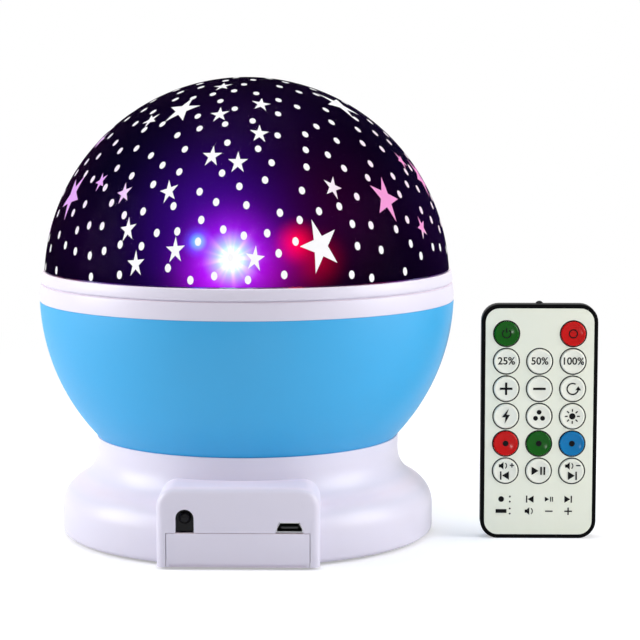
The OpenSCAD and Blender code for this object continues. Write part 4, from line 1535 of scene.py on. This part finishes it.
@dataclass
class Dome:
    """The clear dome, the dark print inside it and the stars and dots that let light out."""

    middle: float = 79.7
    radius: float = 63.9
    edge: float = 83.4
    spigot: Point2 = (61.5, 63.05)
    spigot_low: float = 81.3
    flange: float = 83.6
    print_edge: float = 83.65
    skin: float = 0.3
    stars: tuple[tuple[float, float, float, float], ...] = (
        (-32, 58, 5.6, 5), (23, 14, 6.6, 17), (49, 26, 6.0, -20), (-65, 26, 6.3, -24),
        (66, 60, 6.2, 10), (82, 31, 5.6, 20), (-20, 73, 3, 20), (-46, 53, 2.8, -25),
        (-10, 56, 3.1, 9), (11, 61, 3.1, -15), (8, 48, 3.1, -6), (-9, 40, 3.2, 1),
        (0, 38, 3.2, 0), (-21, 29, 3.1, 17), (-37, 28, 2.9, 17), (-50, 31, 2.6, 28),
        (-32, 18, 3.1, 10), (-16.5, 13, 3.2, 4), (-28, 9, 3.2, 5), (5, 11, 3.1, -7),
        (30, 30, 3.1, -23), (71, 37, 2.6, 15), (63, 17, 2.9, 15), (-82, 14, 3.2, 0),
        (104, 44, 3, 0))
    repeats: int = 2
    waist: float = 0.37
    narrow: float = 0.95
    tall: float = 1.27
    dot_radius: float = 1.0
    dot_range: Point2 = (3.2, 86.0)
    dot_throws: int = 9000
    dot_clear: float = 0.4
    dot_apart: float = 6.1
    lamp_dots: tuple[Point2, ...] = ((-10.3, 15.4), (16.1, 15.4))
    lamp_groups: int = 3
    film_gap: float = 0.06
    film_wall: float = 0.34
    window_gap: float = 0.02
    window_wall: float = 0.03
    shell_steps: int = 60

    def direction(self, turn: float, height: float) -> Vector:
        """The direction at a turn round the dome and a height above its rim, in degrees."""
        t, h = math.radians(turn), math.radians(height)
        return Vector((math.cos(h) * math.sin(t), -math.cos(h) * math.cos(t), math.sin(h)))

    def all_stars(self) -> list[tuple[float, float, float, float]]:
        """Every star, with the pattern repeated round the dome."""
        turns = [360 / self.repeats * i for i in range(self.repeats)]
        return [(star[0] + turn, *star[1:]) for turn in turns for star in self.stars]

    def strewn(self, step: int, base: int) -> float:
        """A share between 0 and 1 that fills the range evenly as the steps go on.

        Args:
            step: which throw it is.
            base: the number system that its digits are mirrored in.

        Returns:
            The share.
        """
        share, part = 0.0, 1.0
        while step:
            part /= base
            share += part * (step % base)
            step //= base
        return share

    def dots(self) -> list[Point2]:
        """Turn and height of the dots, strewn clear of each other and of the stars.

        Returns:
            Turn and height of each dot, in degrees.
        """
        stars = [(self.direction(star[0], star[1]), star[2]) for star in self.all_stars()]
        places = [(turn + 360 / self.lamp_groups * i, lift) for i in range(self.lamp_groups)
                  for turn, lift in self.lamp_dots]
        ways = [self.direction(*place) for place in places]
        low, high = (math.sin(math.radians(lift)) for lift in self.dot_range)
        nearest = math.cos(self.dot_apart / self.radius)
        for step in range(1, self.dot_throws):
            turn = 360 * self.strewn(step, 2)
            lift = math.degrees(math.asin(low + (high - low) * self.strewn(step, 3)))
            here = self.direction(turn, lift)
            if max(here.dot(way) for way in ways) > nearest:
                continue
            free = min(here.angle(way) * self.radius - size for way, size in stars)
            if free > self.dot_radius + self.dot_clear:
                places.append((turn, lift))
                ways.append(here)
        return places

    def on_dome(self, turn: float, height: float, spin: float) -> Matrix:
        """Takes a flat outline at the origin to its place on the dome, stretched up the dome.

        Args:
            turn: how far round the dome, in degrees.
            height: how far above its rim, in degrees.
            spin: own turn of the outline, in degrees.

        Returns:
            The matrix, for a mesh in metres.
        """
        stretch = Matrix.Diagonal((self.narrow, self.tall, 1, 1))
        turned = Matrix.Rotation(math.radians(turn), 4, "Z")
        turned = turned @ Matrix.Rotation(math.radians(90 - height), 4, "X")
        lifted = Matrix.Translation((0, 0, (self.radius - self.skin) * MM)) @ stretch
        lifted = lifted @ Matrix.Rotation(math.radians(spin), 4, "Z")
        return Matrix.Translation((0, 0, self.middle * MM)) @ turned @ lifted

    def wrap(self, piece: Piece, radius: float) -> None:
        """Moves every point in or out until it lies on a sphere round the dome's middle.

        Args:
            piece: the piece.
            radius: the sphere's radius in millimetres.
        """
        middle = Vector((0, 0, self.middle * MM))
        for vertex in piece.data.vertices:
            vertex.co = middle + (vertex.co - middle).normalized() * radius * MM

    def flat(self, name: str, outline: Sequence[Point2], cuts: int = 0) -> Piece:
        """A flat patch.

        Args:
            name: the patch's name.
            outline: x and y of each point, in millimetres.
            cuts: cuts in each edge of its triangles, or 0 to leave it as one face.

        Returns:
            The patch in object mode.
        """
        piece = Bench.line(name, [(x, y, 0) for x, y in outline])
        bpy.ops.mesh.edge_face_add()
        if cuts:
            bpy.ops.mesh.poke()
            bpy.ops.mesh.subdivide(number_cuts=cuts)
        bpy.ops.object.mode_set(mode="OBJECT")
        return piece

    def fits(self, height: float, size: float) -> bool:
        """Does a patch of this size, at this height in degrees, stay above the print's edge?"""
        lift = math.sin(math.radians(height)) * self.radius
        return lift - size * self.tall > self.print_edge - self.middle

    def windows(self, name: str, patches: list[Piece], finish: Finish) -> None:
        """Makes one thin sheet of patches between print and cover.

        Args:
            name: the sheet's name.
            patches: the flat patches, each at its place.
            finish: how they shine.
        """
        sheet = Bench.gather(name, patches)
        self.wrap(sheet, self.radius - self.skin - self.window_gap)
        Bench.modify(sheet, "SOLIDIFY", thickness=self.window_wall * MM, offset=-1.0)
        Bench.smooth(sheet, 40)
        settle(sheet, finish, "dome")

    def lights(self) -> None:
        """Builds the stars and the dots that let the light out."""
        points = [polar(1.0 if i % 2 == 0 else self.waist, 90 + 36 * i) for i in range(10)]
        star = self.flat("star", points, 3)
        dot = self.flat("dot", arc((0, 0), self.dot_radius, 0, 330, 11))
        stars = [Bench.copy(star, "patch", self.on_dome(turn, height, spin) @ Matrix.Scale(size, 4))
                 for turn, height, size, spin in self.all_stars() if self.fits(height, size)]
        dots = [Bench.copy(dot, "patch", self.on_dome(turn, height, 0))
                for turn, height in self.dots() if self.fits(height, self.dot_radius)]
        bpy.data.objects.remove(star)
        bpy.data.objects.remove(dot)
        self.windows("star_windows", stars, Finish.STARS)
        self.windows("dot_windows", dots, Finish.DOTS)

    def shell(self, outer: float, inner: float, edge: float) -> tuple[list[Point2], list[Point2]]:
        """Outlines of the outside and the inside of a dome-shaped shell above a height.

        Args:
            outer: radius of the outside.
            inner: radius of the inside.
            edge: height of its lower edge.

        Returns:
            The outside from the edge up, and the inside from the crown down.
        """
        centre, lift = (0.0, self.middle), edge - self.middle
        return (arc(centre, outer, latitude(lift, outer), 90, self.shell_steps),
                arc(centre, inner, 90, latitude(lift, inner), self.shell_steps))

    def build(self) -> None:
        """Builds cover, print and windows."""
        inner, (bore, width) = self.radius - self.skin, self.spigot
        outside, inside = self.shell(self.radius, inner, self.edge)
        inside = [point for point in inside if point[1] > self.flange]
        spigot = [(bore, self.flange), (bore, self.spigot_low), (width, self.spigot_low),
                  (width, self.edge)]
        cover = Bench.lathe("clear_dome", outside + inside + spigot, ROUND_LARGE)
        settle(Bench.smooth(cover), Finish.COVER, "dome", ["dome_cover"])
        outer = inner - self.film_gap
        outside, inside = self.shell(outer, inner - self.film_gap - self.film_wall, self.print_edge)
        film = Bench.lathe("dome_film", outside + inside, ROUND_LARGE)
        settle(Bench.smooth(film), Finish.PRINT, "dome", ["star_film"])
        self.lights()


@dataclass(frozen=True)
class Key:
    """One key of the remote: where it sits, its sign or its figures, and its finish."""

    name: str
    row: int
    column: int
    sign: Callable[[str], Piece] | str
    size: float = 1.0
    finish: Finish = Finish.KEY_CREAM


KEYS: tuple[Key, ...] = (
    Key("key_on", 0, -1, Signs.on, finish=Finish.KEY_GREEN),
    Key("key_off", 0, 1, Signs.off, finish=Finish.KEY_RED),
    Key("key_dim", 1, -1, "25%"),
    Key("key_half", 1, 0, "50%"),
    Key("key_full", 1, 1, "100%"),
    Key("key_plus", 2, -1, Signs.plus),
    Key("key_minus", 2, 0, Signs.minus),
    Key("key_turn", 2, 1, Signs.turn, 1.15),
    Key("key_flash", 3, -1, Signs.bolt, 1.15),
    Key("key_rgb", 3, 0, Signs.dots, 1.2),
    Key("key_white", 3, 1, Signs.sun, 1.15),
    Key("key_red", 4, -1, Signs.spot, finish=Finish.KEY_RED),
    Key("key_green", 4, 0, Signs.spot, finish=Finish.KEY_GREEN),
    Key("key_blue", 4, 1, Signs.spot, finish=Finish.KEY_BLUE),
    Key("key_back", 5, -1, lambda name: Signs.skip(name, -1), 1.5),
    Key("key_play", 5, 0, Signs.play, 1.25),
    Key("key_next", 5, 1, lambda name: Signs.skip(name, 1), 1.5),
)
KEY_SLOTS: dict[Finish, str] = {
    Finish.KEY_CREAM: "key_cream", Finish.KEY_RED: "key_red",
    Finish.KEY_GREEN: "key_green", Finish.KEY_BLUE: "key_blue"}


@dataclass
class Remote:
    """The slim remote that stands beside the projector."""

    width: float = 36.0
    height: float = 73.5
    depth: float = 6.5
    corner: float = 5.5
    border: float = 1.2
    face: float = 0.8
    skin: float = 0.8
    key_radius: float = 3.8
    pitch_x: float = 10.3
    pitch_z: float = 8.6
    first_row: float = 9.1
    proud: float = 0.5
    dish: float = 0.42
    guide_rows: dict[float, tuple[float, ...]] = field(default_factory=lambda: {
        12.4: (-11.5, -8.8, -2.6, 3.4, 9.4), 8.6: (-11.5, -8.8, -3.0, 3.4, 9.4)})
    figure_height: float = 3.2
    ring_width: float = 0.34
    ring_high: float = 0.03
    ring_deep: float = 0.05
    back_soft: float = 1.6
    front_soft: float = 0.3
    mouth: tuple[Point3, Point3] = ((-11.5, -1, -5.7), (11.5, 3, -2.85))
    hole_drop: float = 3.0
    hole_depth: float = 4.25
    hole_radius: float = 1.4
    keys: tuple[Key, ...] = KEYS
    low: Vector = field(default_factory=lambda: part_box("remote_case")[0] / MM)
    high: Vector = field(default_factory=lambda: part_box("remote_case")[1] / MM)

    def place(self, x: float = 0.0, height: float = 0.0, out: float = 0.0) -> Matrix:
        """Stands a flat piece on the face: x across, height above the end, out of the face."""
        middle = (self.low.x + self.high.x) / 2
        return Bench.stand(Side.BACK, (middle + x, self.low.y - out, self.low.z + height))

    def key_at(self, key: Key) -> Point2:
        """Where a key sits: across from the middle, and above the remote's end."""
        return key.column * self.pitch_x, self.height - self.first_row - key.row * self.pitch_z

    def case(self) -> None:
        """Builds the black case, open in front, with the tray's mouth and the emitter's hole."""
        outline = rounded_box(self.width, 0, self.height, self.corner)
        shell = Bench.slab("remote_shell", outline, -self.depth, 0)

        def level(one: Vector, two: Vector) -> bool:
            """Does this edge run along the front or the back?"""
            return abs(one.z - two.z) < NEAR

        Bench.bevel(shell, lambda a, b: level(a, b) and a.z < NEAR - self.depth, self.back_soft, 5)
        Bench.bevel(shell, lambda a, b: level(a, b) and a.z > -NEAR, self.front_soft, 2)
        inner = rounded_box(self.width - 2 * self.border, self.border, self.height - self.border,
                            self.corner - self.border)
        Bench.cut(shell, Bench.slab("recess", inner, -self.depth + self.skin, PAST),
                  Bench.block("mouth", *self.mouth),
                  Bench.rod("hole", (0, self.height - self.hole_drop, -self.hole_depth),
                            self.hole_radius, 5))
        shell.data.transform(self.place())
        Bench.smooth(shell)
        settle(shell, Finish.REMOTE_CASE, "remote", ["remote_case"])

    def face_sheet(self) -> None:
        """Builds the cream face with a hole for each key and dark rings printed round them."""
        inset = self.border + 0.05
        outline = rounded_box(self.width - 2 * inset, inset, self.height - inset,
                              self.corner - inset)
        sheet = Bench.slab("remote_panel", outline, -self.face, 0)
        rings, drills = [], []
        bore, near = self.key_radius + 0.07, self.key_radius + 0.08
        far, deep = near + self.ring_width, -self.face - PAST
        outline = [(0, deep), (bore, deep), (bore, PAST), (0, PAST)]
        drill = Bench.lathe("drill", outline, ROUND_SMALL)
        low, high = -self.ring_deep, self.ring_high
        outline = [(near, low), (far, low), (far, high), (near, high)]
        ring = Bench.lathe("ring", outline, ROUND_SMALL)
        for key in self.keys:
            x, y = self.key_at(key)
            middle = Matrix.Translation((x * MM, y * MM, 0))
            drills.append(Bench.copy(drill, "drill", middle))
            rings.append(Bench.copy(ring, "key_ring", middle))
        bpy.data.objects.remove(drill)
        bpy.data.objects.remove(ring)
        Bench.cut(sheet, Bench.gather("drills", drills))
        sheet.data.transform(self.place())
        Bench.smooth(sheet)
        settle(sheet, Finish.REMOTE_FACE, "remote", ["remote_face"])
        print_rings = Bench.gather("key_rings", rings)
        print_rings.data.transform(self.place())
        Bench.smooth(print_rings)
        settle(print_rings, Finish.INK, "remote")

    def guide(self) -> None:
        """Prints two rows of plain signs below the keys: tap for the track, hold for the volume."""
        sized = Signs.sized
        tap = [Signs.disc("tap", 0.9), Signs.colon(), Signs.bars("before", -1),
               sized(Signs.play("start"), 0.75), Signs.bars("after", 1)]
        hold = [Signs.bar("hold", 3.4, 1.2), Signs.colon(), sized(Signs.speaker(0, 0), 1.5),
                sized(Signs.minus("less"), 0.6), sized(Signs.plus("more"), 0.6)]
        marks = []
        for (height, places), row in zip(self.guide_rows.items(), (tap, hold)):
            for x, mark in zip(places, row):
                mark.data.transform(self.place(x, height))
                marks.append(mark)
        print_marks = Bench.gather("guide_marks", marks)
        settle(print_marks, Finish.INK, "remote")

    def sink(self, sign: Piece) -> None:
        """Lays a flat sign into the dish of a key.

        Args:
            sign: the sign, centred on the origin.
        """
        for vertex in sign.data.vertices:
            away = min(1.0, vertex.co.xy.length / MM / self.key_radius)
            vertex.co.z -= self.dish * math.cos(away * math.pi / 2) * MM

    def caps(self) -> None:
        """Builds one dished key and copies it to each place, with its own sign."""
        r, out = self.key_radius, self.proud
        seat = self.face + 0.05
        flange, low, root, bottom = r + 0.3, -seat, -seat - 0.5, self.dish
        outline = [(0, root), (flange, root), (flange, low), (r, low), (r, out - 0.3)]
        outline += [(r - 0.12, out - 0.12), (r - 0.35, out)]
        outline += [(r * t, out - bottom * math.cos(t * math.pi / 2))
                    for t in (0.8, 0.65, 0.5, 0.35, 0.2)]
        outline += [(0, out - bottom)]
        cap = Bench.lathe("cap", outline, ROUND_SMALL)
        Bench.smooth(cap, 40)
        for key in self.keys:
            x, y = self.key_at(key)
            body, slot = f"remote_{key.name}", KEY_SLOTS[key.finish]
            twin = Bench.copy(cap, f"{key.name}_cap", self.place(x, y))
            settle(twin, key.finish, body, [key.name])
            if isinstance(key.sign, str):
                sign = Bench.text(f"{key.name}_sign", key.sign, self.figure_height)
            else:
                sign = Signs.sized(key.sign(f"{key.name}_sign"), key.size)
            self.sink(sign)
            sign.data.transform(self.place(x, y, out + 0.02))
            settle(sign, Finish.INK, body)
        bpy.data.objects.remove(cap)

    def build(self) -> None:
        """Builds the whole remote."""
        self.case()
        self.face_sheet()
        self.guide()
        self.caps()


@dataclass
class Innards:
    """The frame's own nodes that stay in view, each with its finish."""

    finishes: dict[str, Finish] = field(default_factory=lambda: {
        "base_plate": Finish.WHITE, "foot_ring": Finish.PAD, "base_screws": Finish.STEEL,
        "battery_cells": Finish.CELL, "battery_contacts": Finish.STEEL, "main_board": Finish.BOARD,
        "board_parts": Finish.MATT_BLACK, "remote_receiver": Finish.BLACK,
        "speaker_frame": Finish.STEEL, "speaker_cone": Finish.MATT_BLACK, "key_board": Finish.BOARD,
        "key_switches": Finish.MATT_BLACK, "bowl_screws": Finish.STEEL, "deck_plate": Finish.WHITE,
        "deck_screws": Finish.STEEL, "gear_motor": Finish.STEEL, "motor_shaft": Finish.STEEL,
        "drive_pinion": Finish.GEAR, "ring_gear": Finish.GEAR, "lamp_board": Finish.BOARD,
        "lamp_white": Finish.LENS_WHITE, "lamp_red": Finish.LENS_RED,
        "lamp_green": Finish.LENS_GREEN, "lamp_blue": Finish.LENS_BLUE,
        "remote_board": Finish.BOARD, "remote_emitter": Finish.BLACK,
        "remote_tray": Finish.MATT_BLACK, "remote_coin_cell": Finish.STEEL})

    def build(self) -> None:
        """Dresses each node."""
        for name, finish in self.finishes.items():
            finish.dress(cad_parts[name])


@dataclass
class Studio:
    """Camera, lights, floor and background."""

    distance: float = 687.0
    height: float = 147.6
    aside: float = 22.9
    turn: float = 1.1
    tilt: float = 6.70
    focal_px: float = 2189.4
    frame_px: float = 640.0
    sensor: float = 36.0
    floor_size: float = 9000.0
    floor_colour: Colour = (0.75, 0.75, 0.77)
    floor_glow: float = 0.36
    ambient: float = 0.34
    fade: Point2 = (170.0, 520.0)
    lamps: tuple[tuple[str, Point3, float, float, Point3], ...] = (
        ("left_box", (-620, -80, 300), 420, 3.45, (20, 0, 70)),
        ("right_box", (620, -110, 300), 420, 3.0, (20, 0, 70)),
        ("top_box", (0, 60, 760), 460, 2.5, (20, 0, 70)),
        ("front_box", (-60, -800, 620), 300, 0.42, (20, 0, 70)),
        ("key_box", (45, -260, 15), 20, 0.05, (300, -150, 45)))

    def camera(self) -> None:
        """Sets the camera where the photograph was taken from."""
        lens = bpy.data.cameras.new("camera")
        lens.sensor_width = self.sensor
        lens.lens = self.sensor * self.focal_px / self.frame_px
        lens.clip_start = 0.01
        eye = bpy.data.objects.new("camera", lens)
        turn = Matrix.Rotation(math.radians(self.turn), 4, "Z")
        place = Matrix.Translation(Vector((self.aside, -self.distance, self.height)) * MM)
        eye.matrix_world = turn @ place @ Matrix.Rotation(math.radians(90 - self.tilt), 4, "X")
        bpy.context.scene.collection.objects.link(eye)
        bpy.context.scene.camera = eye

    def lamp(self, name: str, place: Point3, size: float, power: float, aim: Point3) -> None:
        """A square soft box.

        Args:
            name: the lamp's name.
            place: where it hangs, in millimetres.
            size: side of the box in millimetres.
            power: its power in watts.
            aim: the point that it faces.
        """
        light = bpy.data.lights.new(name, "AREA")
        light.size = size * MM
        light.energy = power
        box = bpy.data.objects.new(name, light)
        spot = Vector(place) * MM
        way = Vector(aim) * MM - spot
        facing = way.to_track_quat("-Z", "Y").to_matrix().to_4x4()
        box.matrix_world = Matrix.Translation(spot) @ facing
        bpy.context.scene.collection.objects.link(box)

    def seen(self, tree: bpy.types.NodeTree) -> bpy.types.NodeSocket:
        """1 for rays that show the background: camera, glossy and transmission rays.

        Args:
            tree: the node tree to add it to.

        Returns:
            The socket that gives it.
        """
        path = tree.nodes.new("ShaderNodeLightPath")
        total = None
        for name in ("Is Camera Ray", "Is Glossy Ray", "Is Transmission Ray"):
            if total is None:
                total = path.outputs[name]
                continue
            add = tree.nodes.new("ShaderNodeMath")
            add.operation = "MAXIMUM"
            tree.links.new(total, add.inputs[0])
            tree.links.new(path.outputs[name], add.inputs[1])
            total = add.outputs[0]
        return total

    def background(self) -> None:
        """A white world for the rays that see it, and a weaker one for light."""
        world = bpy.data.worlds.new("studio")
        world.use_nodes = True
        bpy.context.scene.world = world
        tree = world.node_tree
        tree.nodes.clear()
        mix = tree.nodes.new("ShaderNodeMixShader")
        out = tree.nodes.new("ShaderNodeOutputWorld")
        for slot, strength in ((1, self.ambient), (2, 1.0)):
            shade = tree.nodes.new("ShaderNodeBackground")
            shade.inputs["Color"].default_value = (1, 1, 1, 1)
            shade.inputs["Strength"].default_value = strength
            tree.links.new(shade.outputs[0], mix.inputs[slot])
        tree.links.new(self.seen(tree), mix.inputs[0])
        tree.links.new(mix.outputs[0], out.inputs["Surface"])

    def floor(self) -> None:
        """A white floor that keeps the object's soft shadow and fades into the background."""
        Bench.clear()
        bpy.ops.mesh.primitive_plane_add(size=self.floor_size * MM, location=(0, 0, 0))
        ground = Bench.named("floor")
        paint = Paint("floor")
        x, y, _ = paint.axes()
        far = (x ** 2 + y ** 2).root().rise(*self.fade)
        paint.shade(Base_Color=self.floor_colour, Roughness=0.9, Specular_IOR_Level=0.0)
        lit = [paint.shader, self.glow(paint, self.floor_glow)]
        near = self.shader(paint, "ShaderNodeAddShader", lit)
        seen = self.shader(paint, "ShaderNodeMixShader", [far, near, self.glow(paint, 1.0)])
        both = [self.seen(paint.tree), paint.shader, seen]
        whole = self.shader(paint, "ShaderNodeMixShader", both)
        paint.tree.links.new(whole.outputs[0], paint.output.inputs["Surface"])
        ground.data.materials.append(paint.material)

    def glow(self, paint: Paint, strength: float) -> bpy.types.Node:
        """A white emission shader.

        Args:
            paint: the material being built.
            strength: how bright it is.

        Returns:
            The shader node.
        """
        light = paint.tree.nodes.new("ShaderNodeEmission")
        light.inputs["Strength"].default_value = strength
        return light

    def shader(self, paint: Paint, kind: str, feeds: Sequence[object]) -> bpy.types.Node:
        """A shader node fed by nodes, sockets or terms, in the order of its inputs.

        Args:
            paint: the material being built.
            kind: the node's type.
            feeds: what goes into its inputs.

        Returns:
            The node.
        """
        made = paint.tree.nodes.new(kind)
        for socket, source in zip(made.inputs, feeds):
            if isinstance(source, bpy.types.Node):
                source = source.outputs[0]
            paint.tree.links.new(getattr(source, "socket", source), socket)
        return made

    def build(self) -> None:
        """Builds the studio."""
        bpy.context.scene.view_settings.view_transform = "Standard"
        self.camera()
        self.background()
        self.floor()
        for name, place, size, power, aim in self.lamps:
            self.lamp(name, place, size, power, aim)


def main() -> None:
    """Builds every sub-assembly in order."""
    logging.basicConfig(level=logging.INFO, format="%(message)s")
    Studio().build()
    Base().build()
    Globe().build()
    Dome().build()
    Remote().build()
    Innards().build()


if __name__ == "__main__":
    main()
